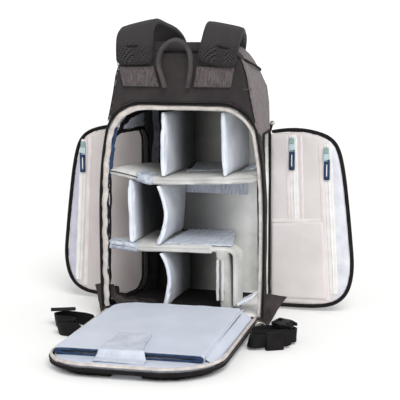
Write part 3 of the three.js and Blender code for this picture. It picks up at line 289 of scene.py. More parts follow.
# Acetal, moulded: satin black with a faint grain
def makeAcetal():
    values = {"colour": "#060606", "grain": 1.2}
    material, tree, shader = startMaterial("mouldedAcetal", 0.34, specular=0.3)
    shader.inputs["IOR"].default_value = 1.48
    shader.inputs["Base Color"].default_value = linearColour(values["colour"])
    place = addNode(tree, "ShaderNodeTexCoord")
    grain = addNode(tree, "ShaderNodeTexNoise", {"Scale": 1 / (values["grain"] * mm), "Detail": 2.0},
                    {"Vector": place.outputs["Object"]})
    bump = addNode(tree, "ShaderNodeBump", {"Strength": 0.15, "Distance": 0.2 * mm},
                   {"Height": grain.outputs[0]})
    tree.links.new(bump.outputs[0], shader.inputs["Normal"])
    return material


# Nickel-plated zinc, die-cast: bright, with rubbed spots where fingers pull
def makeNickel():
    values = {"colour": "#b5b1aa", "wear": 2.5}
    material, tree, shader = startMaterial("platedZinc", 0.3, metallic=1.0)
    shader.inputs["Base Color"].default_value = linearColour(values["colour"])
    place = addNode(tree, "ShaderNodeTexCoord")
    wear = addNode(tree, "ShaderNodeTexNoise", {"Scale": 1 / (values["wear"] * mm), "Detail": 3.0},
                   {"Vector": place.outputs["Object"]})
    rough = addNode(tree, "ShaderNodeMapRange", {"To Min": 0.22, "To Max": 0.42}, {"Value": wear.outputs[0]})
    tree.links.new(rough.outputs[0], shader.inputs["Roughness"])
    return material


# Narrow woven webbing: ribs across the width, with painted shade darkening the grooves between them
def makeWebbing(name, values):
    material, tree, shader = startMaterial(name, values["roughness"], specular=values["specular"])
    place = addNode(tree, "ShaderNodeUVMap", {"uv_map": "along"})
    wave = addNode(tree, "ShaderNodeTexWave", {
        "bands_direction": "X", "Scale": bandScale / (values["rib"] * mm), "Distortion": 0.6,
        "Detail Scale": 2.0,
    }, {"Vector": place.outputs[0]})
    colour = addNode(tree, "ShaderNodeMix", {
        "data_type": "RGBA", 6: linearColour(values["dark"]), 7: linearColour(values["pale"]),
    }, {0: wave.outputs["Fac"]})
    tree.links.new(colour.outputs[2], shader.inputs["Base Color"])
    bump = addNode(tree, "ShaderNodeBump", {"Strength": 0.5, "Distance": 0.5 * mm},
                   {"Height": wave.outputs["Fac"]})
    tree.links.new(bump.outputs[0], shader.inputs["Normal"])
    return material


# What most cloths share. Drift, thread and pucker are sizes in mm of colour patches, weave and creases.
plainCloth = {"roughness": 0.45, "sheen": 0.0, "specular": 0.4, "thread": 1.6, "weaveDepth": 0.06,
              "drift": 30, "pucker": 26, "puckerDepth": 0.3}
clothes = {
    # Uncoated ripstop: matt, close weave
    "charcoal": {"dark": "#2f2b2c", "pale": "#3b3737", "roughness": 0.9, "specular": 0.15,
                 "thread": 2.0, "weaveDepth": 0.15, "drift": 40, "pucker": 45},
    "black": {"dark": "#131112", "pale": "#201d1d", "roughness": 0.85, "specular": 0.15,
              "thread": 2.2, "weaveDepth": 0.2, "drift": 25, "pucker": 22, "puckerDepth": 0.4},
    # Padded grip cloth, softer and a little paler than the yoke
    "grip": {"dark": "#3f3b3c", "pale": "#4d4949", "roughness": 0.9, "specular": 0.15, "thread": 2.0,
             "weaveDepth": 0.15, "drift": 20, "pucker": 20},
    # Ripstop folded round the posts, where light catches its weave
    "post": {"dark": "#2b2626", "pale": "#423c3b", "roughness": 0.9, "specular": 0.15, "thread": 2.2,
             "weaveDepth": 0.2, "drift": 25, "pucker": 22, "puckerDepth": 0.4},
    # Grosgrain tape with a pale zip behind it
    "cream": {"dark": "#ada6a2", "pale": "#cfc8c3", "roughness": 0.85, "specular": 0.3, "thread": 1.8,
              "weaveDepth": 0.3, "drift": 14, "pucker": 12, "puckerDepth": 0.5},
    # Coated nylon: a cool, faintly shiny face with creases from its stitching
    "satin": {"dark": "#bfc6d3", "pale": "#c8cedb", "roughness": 0.5, "sheen": 0.08, "drift": 60,
              "pucker": 46, "puckerDepth": 0.22},
    "satinCreased": {"dark": "#b4bbc8", "pale": "#c8ceda", "sheen": 0.08, "drift": 24, "pucker": 17,
                     "puckerDepth": 0.9},
    # satinBright is the same cloth made paler, as painted light on the lit base flap
    "satinBright": {"dark": "#cfd4df", "pale": "#e4e8ef", "sheen": 0.1, "drift": 18, "pucker": 14,
                    "puckerDepth": 0.6},
    # The same on the dividers, made paler as painted light and darker towards the back of a cell as painted
    # shade
    "satinDeep": {"dark": "#ccd2de", "pale": "#e4e8ef", "sheen": 0.1, "puckerDepth": 0.6,
                  "inside": [("Y", -86, 34, 0.05)]},
    "satinHalf": {"dark": "#ccd2de", "pale": "#e4e8ef", "sheen": 0.1, "puckerDepth": 0.6,
                  "inside": [("Y", -84, 60, 0.42)]},
    "satinSteep": {"dark": "#ccd2de", "pale": "#e4e8ef", "sheen": 0.1, "puckerDepth": 0.6,
                   "inside": [("Y", -88, -28, 0.04)]},
    "satinSoft": {"dark": "#ccd2de", "pale": "#e4e8ef", "sheen": 0.1, "puckerDepth": 0.6,
                  "inside": [("Y", -84, 70, 0.6)]},
    # Crushed ends of the same cloth, with sharp grey creases: the grey is painted shade
    "satinFolded": {"dark": "#7f8796", "pale": "#c4cad5", "sheen": 0.08, "drift": 9, "pucker": 9,
                    "puckerDepth": 1.0},
    # satinDim is the same cloth made darker as painted shade, for the far corner and the lines between
    # layers
    "satinDim": {"dark": "#50525b", "pale": "#7c7f89", "roughness": 0.5, "weaveDepth": 0.08,
                 "drift": 16, "pucker": 14, "puckerDepth": 0.6},
    # Pocket lining: warm, soft and nearly matt
    "beige": {"dark": "#cac4c3", "pale": "#d8d2d1", "roughness": 0.6, "sheen": 0.08, "drift": 70,
              "pucker": 45},
    # beigeShade, on the left door, is darker and has painted shade towards its hinge, where the bag's body
    # shades it
    "beigeShade": {"dark": "#c3bab8", "pale": "#d0c8c6", "roughness": 0.6, "sheen": 0.08, "drift": 70,
                   "pucker": 45, "inside": [("X", -222, -146, 0.55)]},
    "beigePale": {"dark": "#d3c9c7", "pale": "#e2dad8", "roughness": 0.65, "sheen": 0.08,
                  "weaveDepth": 0.1, "pucker": 20},
    # The doors' outer strip, cooler than the pocket lining
    "lilac": {"dark": "#c3c4cd", "pale": "#dadbe1", "roughness": 0.55, "sheen": 0.08,
              "weaveDepth": 0.08, "puckerDepth": 0.5},
    # lilacShade, on the left door, is the same strip made darker as painted shade
    "lilacShade": {"dark": "#a6a6b4", "pale": "#c0c0cc", "roughness": 0.55, "sheen": 0.08,
                   "weaveDepth": 0.08, "puckerDepth": 0.5},
    # Tightly woven tape with a deep blue face
    "navy": {"dark": "#1c2c46", "pale": "#334766", "roughness": 0.72, "specular": 0.2, "thread": 1.5,
             "weaveDepth": 0.4, "drift": 12, "pucker": 12, "puckerDepth": 0.4},
    # Zip tape, plain and bright
    "white": {"dark": "#d9d6d5", "pale": "#e8e6e5", "roughness": 0.7, "specular": 0.3,
              "weaveDepth": 0.2, "drift": 20, "pucker": 30, "puckerDepth": 0.15},
}

materials = {name: makeWoven(f"{name}Cloth", {**plainCloth, **values}) for name, values in clothes.items()}
melange = {
    "streakWidth": 2.1, "streakLength": 19, "flecks": 3.0,
    "thread": 1.6, "depth": 0.35,  # real threads are 0.4 mm, drawn coarser to show
}
materials["heather"] = makeHeather("melangePolyester", {"dark": "#524a4a", "pale": "#7d7475", **melange})
materials["heatherDark"] = makeHeather("darkMelangePolyester", {
    "dark": "#3d3738", "pale": "#645c5d", **melange})
materials["mesh"] = makeAirMesh()
materials["velour"] = makeVelour("brushedLining")
materials["velourBlock"] = makeVelour("brushedBlock", "#9c9c99", "#bcbcb8")
# Copies of the lining with painted shade: the shelf darkens along Y into the bag, the walls along X towards
# the narrow cells on the left; the wall copies are paler, as painted light
materials["velourShelf"] = makeVelour("brushedShelf", inside=[("Y", -84, 30, 0.3)])
materials["velourWall"] = makeVelour("brushedWall", "#dededa", "#f4f4f0", [("X", 92, -42, 0.03)])
materials["velourMid"] = makeVelour("brushedMiddleWall", "#ececec", "#fcfcf8", [("X", 108, -34, 0.16)])
materials["plastic"] = makeAcetal()
materials["metal"] = makeNickel()
materials["webbing"] = makeWebbing("wovenWebbing", {
    "dark": "#060505", "pale": "#131212", "roughness": 0.65, "specular": 0.2, "rib": 2.4})
materials["pullRibbon"] = makeWebbing("pullRibbon", {
    "dark": "#768f8c", "pale": "#9cb3b1", "roughness": 0.8, "specular": 0.2, "rib": 1.4})
materials["pullRibbonPale"] = makeWebbing("palePullRibbon", {
    "dark": "#a2bdc2", "pale": "#bfd5da", "roughness": 0.8, "specular": 0.2, "rib": 1.4})
print("materials ready:", len(materials))


def dress(piece, finish, replaced=(), sharpAngle=50):
    piece.data.materials.clear()
    piece.data.materials.append(materials[finish])
    for vert in piece.data.vertices:  # nothing reaches below the floor
        vert.co.z = max(vert.co.z, 0.1 * mm)
    for face in piece.data.polygons:
        face.use_smooth = True
    piece.data.set_sharp_from_angle(angle=math.radians(sharpAngle))
    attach(piece, "root")
    if replaced:
        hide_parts(*replaced)
    return piece


def copyOfNode(name):
    bm = bmesh.new()
    bm.from_mesh(nodes[name].data)
    bmesh.ops.remove_doubles(bm, verts=bm.verts, dist=0.02 * mm)
    return bm


def bakedMesh(piece):
    depsgraph = bpy.context.evaluated_depsgraph_get()
    return bpy.data.meshes.new_from_object(piece.evaluated_get(depsgraph))


# Even quads all over a closed mesh
def remeshPiece(piece, voxel):
    modifier = piece.modifiers.new("Remesh", "REMESH")
    modifier.mode = "VOXEL"
    modifier.voxel_size = voxel * mm
    mesh = bakedMesh(piece)
    piece.modifiers.clear()
    piece.data = mesh
    return piece


# Cuts edges until none is longer than this, so that the faces can bend
def refine(bm, longest):
    for _ in range(7):
        edges = [edge for edge in bm.edges if edge.calc_length() > longest * mm]
        if not edges:
            break
        bmesh.ops.subdivide_edges(bm, edges=edges, cuts=1)
        bmesh.ops.triangulate(bm, faces=[face for face in bm.faces if len(face.verts) > 4])


def soften(bm):
    bmesh.ops.smooth_vert(bm, verts=bm.verts, factor=0.5, use_axis_x=True, use_axis_y=True, use_axis_z=True)


# Moves points outwards along their normals, or the parts of these that lie along the given axes
def grow(bm, distance, axes=(1, 1, 1)):
    bm.normal_update()
    moves = [Vector([vert.normal[i] * axes[i] for i in range(3)]) * distance * mm for vert in bm.verts]
    for vert, move in zip(bm.verts, moves):
        vert.co += move


# Moves points along their normals by smooth noise
def wrinkle(bm, size, height, seed=0):
    bm.normal_update()
    moves = []
    for vert in bm.verts:
        at = Vector([vert.co[i] / (size * mm) for i in range(3)]) + Vector((seed, seed, seed))
        amount = noise.noise(at) + 0.4 * noise.noise(at * 2.3)
        moves.append(vert.normal * amount * height * mm)
    for vert, move in zip(bm.verts, moves):
        vert.co += move


# A smooth run of points through a few, about one step apart
def smoothPath(points, step):
    points = [Vector(point) for point in points]
    ends = [2 * points[0] - points[1]] + points + [2 * points[-1] - points[-2]]
    path = []
    for a, b, c, d in zip(ends, ends[1:], ends[2:], ends[3:]):
        count = max(1, round((c - b).length / step))
        for i in range(count):
            t = i / count
            path.append(0.5 * (2 * b + (c - a) * t + (2 * a - 5 * b + 4 * c - d) * t ** 2
                               + (3 * b - a - 3 * c + d) * t ** 3))
    return path + [points[-1]]


# The direction of a path at one of its points
def runAt(path, i):
    return (path[min(i + 1, len(path) - 1)] - path[max(i - 1, 0)]).normalized()


# A closed band swept along a path of millimetre points. The normals face out of its flat side, and
# square runs from 1, an ellipse, down to nearly 0, a box.
def sweepBand(name, path, normals, halfWidth, halfThickness, square=0.5, sides=12, closed=False, ends=0.75):
    bm = bmesh.new()
    count = len(path)
    rings = []
    along = 0.0
    lengths = []
    for i, point in enumerate(path):
        before = path[(i - 1) % count] if closed else path[max(i - 1, 0)]
        after = path[(i + 1) % count] if closed else path[min(i + 1, count - 1)]
        tangent = (after - before).normalized()
        normal = Vector(normals[i] if isinstance(normals, list) else normals)
        across = tangent.cross(normal).normalized()
        normal = across.cross(tangent).normalized()
        wide = halfWidth[i] if isinstance(halfWidth, list) else halfWidth
        thick = halfThickness[i] if isinstance(halfThickness, list) else halfThickness
        if not closed and i in (0, count - 1):
            wide, thick = wide * ends, thick * ends
        ring = bmesh.ops.create_circle(bm, segments=sides, radius=1)["verts"]
        for vert in ring:
            u, v = vert.co.x, vert.co.y
            u = math.copysign(abs(u) ** square, u) * wide
            v = math.copysign(abs(v) ** square, v) * thick
            vert.co = (point + across * u + normal * v) * mm
        rings.append(ring)
        along += (point - before).length if i else 0
        lengths.append(along)
    edgesOf = [list(dict.fromkeys(edge for vert in ring for edge in vert.link_edges)) for ring in rings]
    order = {vert: (i, j) for i, ring in enumerate(rings) for j, vert in enumerate(ring)}
    pairs = list(zip(edgesOf, edgesOf[1:])) + ([(edgesOf[-1], edgesOf[0])] if closed else [])
    for first, second in pairs:
        bmesh.ops.bridge_loops(bm, edges=first + second)
    if not closed:
        for edges in (edgesOf[0], edgesOf[-1]):
            bmesh.ops.edgeloop_fill(bm, edges=edges)
    bmesh.ops.recalc_face_normals(bm, faces=bm.faces)
    layer = bm.loops.layers.uv.new("along")  # metres along the band and round it, for ribs and weaves
    girth = 2 * (halfWidth if not isinstance(halfWidth, list) else max(halfWidth))
    for face in bm.faces:
        for loop in face.loops:
            i, j = order[loop.vert]
            loop[layer].uv = (lengths[i] * mm, girth * j / sides * mm)
    return placeMesh(name, bm)


# A round or oval cord in one finish
def cord(name, path, normals, halfWidth, halfThickness, finish, sides=8, closed=False):
    band = sweepBand(name, path, normals, halfWidth, halfThickness, square=1.0, sides=sides, closed=closed)
    return dress(band, finish)


def surfaceOf(name):
    bm = bmesh.new()
    bm.from_mesh(nodes[name].data)
    tree = BVHTree.FromBMesh(bm)
    bm.free()
    return tree


# Stitches in a row along a path, each a small bead half sunk in the cloth
def stitchRow(name, path, normals, pitch, length, finish, thread=0.5):
    bm = bmesh.new()
    travelled = 0.0
    for i in range(1, len(path)):
        step = path[i] - path[i - 1]
        travelled += step.length
        if travelled < pitch:
            continue
        travelled = 0.0
        normal = Vector(normals[i] if isinstance(normals, list) else normals)
        tangent = step.normalized()
        across = tangent.cross(normal).normalized()
        turn = Matrix((tangent, across, across.cross(tangent))).transposed().to_4x4()
        shape = Matrix.Diagonal((length / 2 * mm, thread * mm, thread * mm, 1))
        bmesh.ops.create_uvsphere(bm, u_segments=6, v_segments=4, radius=1,
                                  matrix=Matrix.Translation(path[i] * mm) @ turn @ shape)
    piece = placeMesh(name, bm)
    return dress(piece, finish)


# The outer shell and the lid: the frame's own forms, cut fine enough to sag a little between seams
shellLook = {
    "shell": {"longest": 9, "sag": 1.1, "foldSize": 70},
    "lid": {"longest": 7, "sag": 0.9, "foldSize": 45},
    "postDepth": 17, "postTop": 345, "lidRear": -60,
}


def makeShell():
    for name, node in (("shell", "outer_shell"), ("lid", "top_lid")):
        look = shellLook[name]
        bm = copyOfNode(node)
        refine(bm, look["longest"])
        wrinkle(bm, look["foldSize"], look["sag"], seed=len(name))
        bmesh.ops.recalc_face_normals(bm, faces=bm.faces)
        piece = dress(placeMesh(name, bm), "heather", replaced=[node])
    shell = bpy.data.objects["shell"]
    shell.data.materials.append(materials["post"])
    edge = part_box("outer_shell")[0].y + shellLook["postDepth"] * mm
    for face in shell.data.polygons:
        if face.center.y < edge and face.center.z < shellLook["postTop"] * mm:
            face.material_index = 1
    lid = bpy.data.objects["lid"]
    lid.data.materials.append(materials["charcoal"])
    for face in lid.data.polygons:
        if face.center.y < shellLook["lidRear"] * mm:
            face.material_index = 1


makeShell()
print("shell and lid ready")


# Padded pieces that keep their frame form: remeshed, swollen by a short cloth simulation under
# slight pressure, and capped so that none leaves its place
plainPad = {"voxel": 3.2, "shrink": 0.8, "cap": 2.2, "fill": 0.7}
swelling = {"quality": 4, "mass": 0.25, "tension_stiffness": 12, "compression_stiffness": 12,
            "bending_stiffness": 0.4, "use_pressure": True, "uniform_pressure_force": 4}
swellFrames = 20
padLooks = {
    "yoke": {"node": "back_yoke", "finish": "charcoal", "voxel": 3.0, "shrink": 0.2, "cap": 1.2,
             "fill": 0.3},
    "leftStrapBase": {"node": "strap_base_left", "finish": "heatherDark", "voxel": 2.6, "cap": 2.4,
                      "fill": 0.6},
    "rightStrapBase": {"node": "strap_base_right", "finish": "heatherDark", "voxel": 2.6, "cap": 2.4,
                       "fill": 0.6},
    "upperShelf": {"node": "shelf_upper", "finish": "velourShelf", "voxel": 4.2, "cap": 1.6},
    "lowerShelf": {"node": "shelf_lower", "finish": "velourShelf", "voxel": 4.2, "cap": 1.6},
    "topLeftDivider": {"node": "divider_top_left", "finish": "satinDeep"},
    "topRightDivider": {"node": "divider_top_right", "finish": "satinHalf"},
    "midLeftDivider": {"node": "divider_mid_left", "finish": "satinSteep"},
    "midCurvedDivider": {"node": "divider_mid_curved", "finish": "satinSoft"},
    "lowCurvedDivider": {"node": "divider_low_curved", "finish": "satinDeep"},
    "lowBlock": {"node": "divider_low_block", "finish": "velourBlock", "voxel": 3.0, "cap": 1.8},
    "leftBackPad": {"node": "back_pad_left", "finish": "black", "voxel": 6.0, "shrink": 1.0,
                    "cap": 2.0, "fill": 0.6},
    "rightBackPad": {"node": "back_pad_right", "finish": "black", "voxel": 6.0, "shrink": 1.0,
                     "cap": 2.0, "fill": 0.6},
    "leftDoor": {"node": "side_door_left", "finish": "beigeShade", "voxel": 4.0, "shrink": 0.4,
                 "cap": 1.6, "fill": 0.4, "grow": 2.8},
    "rightDoor": {"node": "side_door_right", "finish": "beige", "voxel": 4.0, "shrink": 0.4,
                  "cap": 1.6, "fill": 0.4, "grow": 2.8},
    "backPanel": {"node": "back_panel", "finish": "satin", "voxel": 4.6, "shrink": 0.4, "cap": 1.4,
                  "fill": 0.4},
}
padLooks = {name: {**plainPad, **look} for name, look in padLooks.items()}


def makePads():
    started = {}
    for name, look in padLooks.items():
        bm = copyOfNode(look["node"])
        if "grow" in look:  # the lining runs on under the rim
            grow(bm, look["grow"], (1, 0, 1))
        piece = placeMesh(name, bm)
        remeshPiece(piece, look["voxel"])
        bm = bmesh.new()
        bm.from_mesh(piece.data)
        soften(bm)
        grow(bm, -look["shrink"])
        bm.to_mesh(piece.data)
        bm.free()
        started[name] = [vert.co.copy() for vert in piece.data.vertices]
        cloth = piece.modifiers.new("Cloth", "CLOTH")
        for setting, value in swelling.items():
            setattr(cloth.settings, setting, value)
        cloth.settings.effector_weights.gravity = 0
        cloth.collision_settings.use_collision = False
        cloth.point_cache.frame_end = swellFrames
    for step in range(1, swellFrames + 1):
        scene.frame_set(step)
    swollen = {name: bakedMesh(bpy.data.objects[name]) for name in padLooks}
    scene.frame_set(1)
    for name, look in padLooks.items():
        piece = bpy.data.objects[name]
        piece.modifiers.clear()
        cap = look["cap"] * mm
        for vert, moved, start in zip(piece.data.vertices, swollen[name].vertices, started[name]):
            move = moved.co - start
            vert.co = start + (move * cap / move.length if move.length > cap else move)
        bm = bmesh.new()
        bm.from_mesh(piece.data)
        bmesh.ops.subdivide_edges(bm, edges=bm.edges, cuts=1, smooth=0.7, use_grid_fill=True)
        bm.to_mesh(piece.data)
        bm.free()
        dress(piece, look["finish"], replaced=[look["node"]], sharpAngle=80)


makePads()
print("padded pieces ready")

# Side and back walls as the frame has them, read by rays from outside
shellSurface = surfaceOf("outer_shell")
liningSurface = surfaceOf("padded_lining")


def halfAt(z, y=-86.0):
    hit = shellSurface.ray_cast(Vector((1, y * mm, z * mm)), Vector((-1, 0, 0)))
    return (hit[0].x if hit[0] else 0.15) / mm


opening = {"sill": 23, "top": 393, "corner": 50, "post": 6}


# The border of the open back, moved in by an inset, from the right foot over the top to the left foot
def openingPath(inset, y, step=6.0):
    top = opening["top"] - inset
    arcStart = top - opening["corner"]
    right = []
    for i in range(8):
        z = opening["sill"] + (arcStart - opening["sill"]) * i / 7
        right.append(Vector((halfAt(z) - opening["post"] - inset, y, z)))
    for i in range(1, 9):
        turn = i / 8 * math.pi / 2
        z = arcStart + opening["corner"] * math.sin(turn)
        half = halfAt(min(z, 350)) + (z - min(z, 350)) * -0.26
        x = half - opening["post"] - inset - opening["corner"] * (1 - math.cos(turn))
        right.append(Vector((x, y, z)))
    left = [Vector((-point.x, point.y, point.z)) for point in reversed(right)]
    middle = [right[-1].lerp(left[0], i / 8) for i in range(1, 8)]
    return smoothPath(right + middle + left, step)


rearEdgeLook = {
    "rightHalf": 3.1, "leftHalf": 4.9, "bandThick": 2.4, "wobble": 0.7, "coil": 1.5, "coilOut": 3,
    "trim": 0.8, "trimOut": 6.4,
}


def makeRearEdge():
    look = rearEdgeLook
    path = openingPath(4.0, -93.4)
    halves = []
    for i, point in enumerate(path):
        leftness = min(1.0, max(0.0, (110 - point.x) / 220))
        swing = look["wobble"] * (1 + 3 * leftness ** 4)
        point.x += swing * noise.noise(Vector((i * 0.31, 2.1, 0)))
        point.z += look["wobble"] * noise.noise(Vector((i * 0.27, 7.7, 0)))
        wide = look["rightHalf"] + leftness * (look["leftHalf"] - look["rightHalf"])
        halves.append(wide + (0.4 + 0.8 * leftness) * noise.noise(Vector((i * 0.5, 0, 4.4))))
    band = sweepBand("zipBand", path, rearward, halves, look["bandThick"], square=0.7, sides=16)
    dress(band, "cream", replaced=["rear_zip_band"])
    path = openingPath(-look["coilOut"], -97.0, step=3.0)
    coil = sweepBand("zipCoil", path, rearward, look["coil"] * 1.5, look["coil"], square=0.8)
    dress(coil, "webbing", replaced=["rear_zip_tape"])
    path = openingPath(-look["trimOut"], -99.6)
    path = [point for point in path if point.z > 362]
    cord("yokeEdgeCord", path, rearward, look["trim"], look["trim"], "charcoal")


makeRearEdge()


# Lining: brushed cloth over foam, with the loose binding of the door openings
liningLook = {"longest": 9, "foldSize": 55, "sag": 0.9, "middleLow": 140, "middleHigh": 262,
              "cornerCloth": 345, "floor": 34, "floorEnd": 92}


def sidePath(side, y0, y1, z0, z1, corners, inset, surface, proud):
    outline = []
    places = [(y1, z0, corners[0], (0, 1)), (y1, z1, corners[1], (1, 0)), (y0, z1, corners[2], (0, -1)),
              (y0, z0, corners[3], (-1, 0))]
    for k, (y, z, radius, _) in enumerate(places):
        cy = y - math.copysign(radius, y - (y0 + y1) / 2)
        cz = z - math.copysign(radius, z - (z0 + z1) / 2)
        start = -math.pi / 2 + k * math.pi / 2
        for i in range(6):
            turn = start + i / 5 * math.pi / 2
            outline.append((cy + radius * math.cos(turn), cz + radius * math.sin(turn)))
    path = []
    for y, z in outline:
        origin = Vector((side * 0.4, (y + math.copysign(inset, y - (y0 + y1) / 2)) * mm,
                         (z + math.copysign(inset, z - (z0 + z1) / 2)) * mm))
        hit = surface.ray_cast(origin, Vector((-side, 0, 0)))
        x = abs(hit[0].x) / mm if hit[0] and hit[0].x * side > 0.06 else halfAt(z)
        path.append(Vector((side * (x + proud), y, z)))
    return path


def makeLining():
    bm = copyOfNode("padded_lining")
    refine(bm, liningLook["longest"])
    wrinkle(bm, liningLook["foldSize"], liningLook["sag"], seed=3)
    lining = dress(placeMesh("lining", bm), "velourWall", replaced=["padded_lining"], sharpAngle=40)
    lining.data.materials.append(materials["velourMid"])
    lining.data.materials.append(materials["satinHalf"])
    lining.data.materials.append(materials["black"])
    for face in lining.data.polygons:
        place = face.center / mm
        if liningLook["middleLow"] < place.z < liningLook["middleHigh"] and place.x > -100:
            face.material_index = 1
        elif place.x < -100 and place.y < 40 and place.z > liningLook["cornerCloth"]:
            face.material_index = 2
        # The floor of the lower cells gets black cloth, as painted shade
        elif place.z < liningLook["floor"] and face.normal.z > 0.6 and place.x < liningLook["floorEnd"]:
            face.material_index = 3
    for side, name in ((-1, "left"), (1, "right")):
        path = sidePath(side, -82, 61, 25, 342, (28, 28, 30, 8), 1.5, shellSurface, 0.6)
        path = smoothPath(path + path[:1], 7)[:-1]
        cord(f"{name}DoorwayPiping", path, (side, 0, 0), 2.4, 2.2, "black", sides=10, closed=True)
        inner = []
        for i, point in enumerate(path):
            wave = 1.6 * noise.noise(Vector((i * 0.35, side, 0)))
            inner.append(Vector((point.x - side * (11.5 + wave), point.y + wave, point.z - 0.6 * wave)))
        hem = sweepBand(f"{name}DoorwayHem", inner, (side, 0, 0), 4.2, 1.3, square=0.8, sides=10,
                        closed=True)
        dress(hem, "black")


makeLining()


# Navy tape that crumples along the near edge of the left doorway
navyTapeLook = {"from": 352, "to": 96, "depth": -88.5, "half": 3.6, "thick": 0.6, "wave": 2.8}


def makeNavyTape():
    look = navyTapeLook
    path = []
    normals = []
    for i in range(46):
        share = i / 45
        z = look["from"] + share * (look["to"] - look["from"])
        wave = noise.noise(Vector((i * 0.42, 0.3, 5.0)))
        x = -(halfAt(z) - opening["post"] - 7.6) + look["wave"] * wave + (3 if share < 0.3 else 0)
        path.append(Vector((x, look["depth"] + 1.5 * wave, z)))
        turn = 0.5 + 1.1 * noise.noise(Vector((i * 0.3, 9.1, 1.0)))
        normals.append(Vector((math.sin(turn), -math.cos(turn), 0)))
    halves = []
    for i in range(46):
        wave = 1 + 0.5 * noise.noise(Vector((i * 0.6, 3, 3)))
        halves.append(look["half"] * (1.15 if i < 16 else 0.45) * wave)
    tape = sweepBand("navyTape", path, normals, halves, look["thick"], square=0.6, sides=8)
    dress(tape, "navy")
    line = []
    for i in range(52):
        z = 268 - i * 4.6
        wave = noise.noise(Vector((i * 0.5, 4.3, 1.0)))
        line.append(Vector((-(halfAt(z) - opening["post"] - 10.4) + look["wave"] * wave, -91.5 + wave, z)))
    cord("postPiping", line, rearward, 1.1, 1.1, "black")


makeNavyTape()


# The far corner beside the left doorway: a strip of satin cloth, darkened as painted shade, and a padded
# upright edge
cornerLook = {"stripAcross": -114, "stripDepth": 72, "stripHalf": 10, "edgeAcross": -102, "edgeDepth": 74,
              "edgeRadius": 3.4, "spans": ((28, 122), (146, 250), (268, 380))}


def makeFarCorner():
    look = cornerLook
    for number, (low, high) in enumerate(look["spans"], 1):
        drift = 4 * number
        path = smoothPath([(look["stripAcross"] + drift - 4, look["stripDepth"], low),
                           (look["stripAcross"] + drift - 3, look["stripDepth"] + 2, (low + high) / 2),
                           (look["stripAcross"] + drift - 4, look["stripDepth"], high)], 8)
        strip = sweepBand(f"cornerStrip{number}", path, (0.5, -1, 0), look["stripHalf"], 1.0,
                          square=0.6)
        dress(strip, "satinDim")
        path = smoothPath([(look["edgeAcross"] + drift - 4, look["edgeDepth"], low),
                           (look["edgeAcross"] + drift - 2, look["edgeDepth"], (low + high) / 2),
                           (look["edgeAcross"] + drift - 4, look["edgeDepth"], high)], 8)
        cord(f"cornerEdge{number}", path, rearward, look["edgeRadius"],
                         look["edgeRadius"], "black", sides=12)


makeFarCorner()
print("lining and edges ready")


# Cloth that wraps the shelves' left ends, the line between the layers of the upper one, and the block's fold
wrapLooks = {
    "upperShelfWrap": {"node": "shelf_upper", "from": -85, "to": -57, "near": -40, "out": 1.5,
                       "crumple": 3.0, "fold": 9, "finish": "satinFolded"},
    "lowerShelfWrap": {"node": "shelf_lower", "from": -141, "to": -86, "near": -56, "out": 0.9,
                       "crumple": 2.0, "fold": 12, "finish": "satinFolded"},
}


def makeWraps():
    for name, look in wrapLooks.items():
        bm = copyOfNode(look["node"])
        cuts = (((look["from"], 0, 0), (-1, 0, 0)), ((look["to"], 0, 0), (1, 0, 0)),
                ((0, look["near"], 0), (0, 1, 0)))
        for place, normal in cuts:
            everything = bm.verts[:] + bm.edges[:] + bm.faces[:]
            cut = bmesh.ops.bisect_plane(bm, geom=everything, plane_co=Vector(place) * mm, plane_no=normal,
                                         clear_outer=True)
            edges = [edge for edge in cut["geom_cut"] if isinstance(edge, bmesh.types.BMEdge)]
            bmesh.ops.holes_fill(bm, edges=edges)
        refine(bm, 3.4)
        grow(bm, look["out"])
        wrinkle(bm, look["fold"], look["crumple"], seed=len(name))
        soften(bm)
        wrap = dress(placeMesh(name, bm), look["finish"], sharpAngle=60)


def nearEdgePath(surface, start, end, share, count=24, depth=-78):
    path = []
    for i in range(count + 1):
        x = start + (end - start) * i / count
        above = surface.ray_cast(Vector((x, depth, 600)) * mm, Vector((0, 0, -1)))
        below = surface.ray_cast(Vector((x, depth, 0)) * mm, upward)
        if above[0] and below[0]:
            z = below[0].z + (above[0].z - below[0].z) * share
            near = surface.ray_cast(Vector((x * mm, -0.3, z)), Vector((0, 1, 0)))
            if near[0]:
                path.append(Vector((x, near[0].y / mm - 0.3, z / mm)))
    return path


blockFold = {"across": 71, "low": 46, "high": 120, "hem": 4.6}


def makeShelfSeams():
    shelves = {"upper": surfaceOf("shelf_upper"), "lower": surfaceOf("shelf_lower")}
    seams = {
        # upperLayers is a black cord as painted shade between the shelf's layers
        "upperLayers": ("upper", -139, -80, 0.5, 0.9, "black"),
        "upperSeam": ("upper", -52, 139, 0.86, 0.7, "velour"),
        "lowerSeam": ("lower", -80, 96, 0.86, 0.7, "velour"),
        "lowerLayers": ("lower", -138, -90, 0.55, 0.8, "satinDim"),
    }
    for name, (shelf, start, end, share, radius, finish) in seams.items():
        path = nearEdgePath(shelves[shelf], start, end, share)
        if len(path) > 3:
            cord(name, path, rearward, radius, radius, finish, sides=6)
    block = surfaceOf("divider_low_block")
    fold = []
    for i in range(16):
        z = blockFold["low"] + i * (blockFold["high"] - blockFold["low"]) / 15
        x = blockFold["across"] + 0.8 * noise.noise(Vector((i * 0.4, 0, 0)))
        near = block.ray_cast(Vector((x * mm, -0.3, z * mm)), Vector((0, 1, 0)))
        if near[0]:
            fold.append(Vector((x, near[0].y / mm - 0.6, z)))
    if len(fold) > 3:
        cord("blockFold", fold, rearward, 1.0, 0.9, "satinDim")
        for side in (-1, 1):
            hem = [point + Vector((side * blockFold["hem"], 0.4, 0)) for point in fold]
            cord(f"blockHem{'Right' if side > 0 else 'Left'}", hem, rearward, 2.6, 1.2, "velour")


makeWraps()
makeShelfSeams()


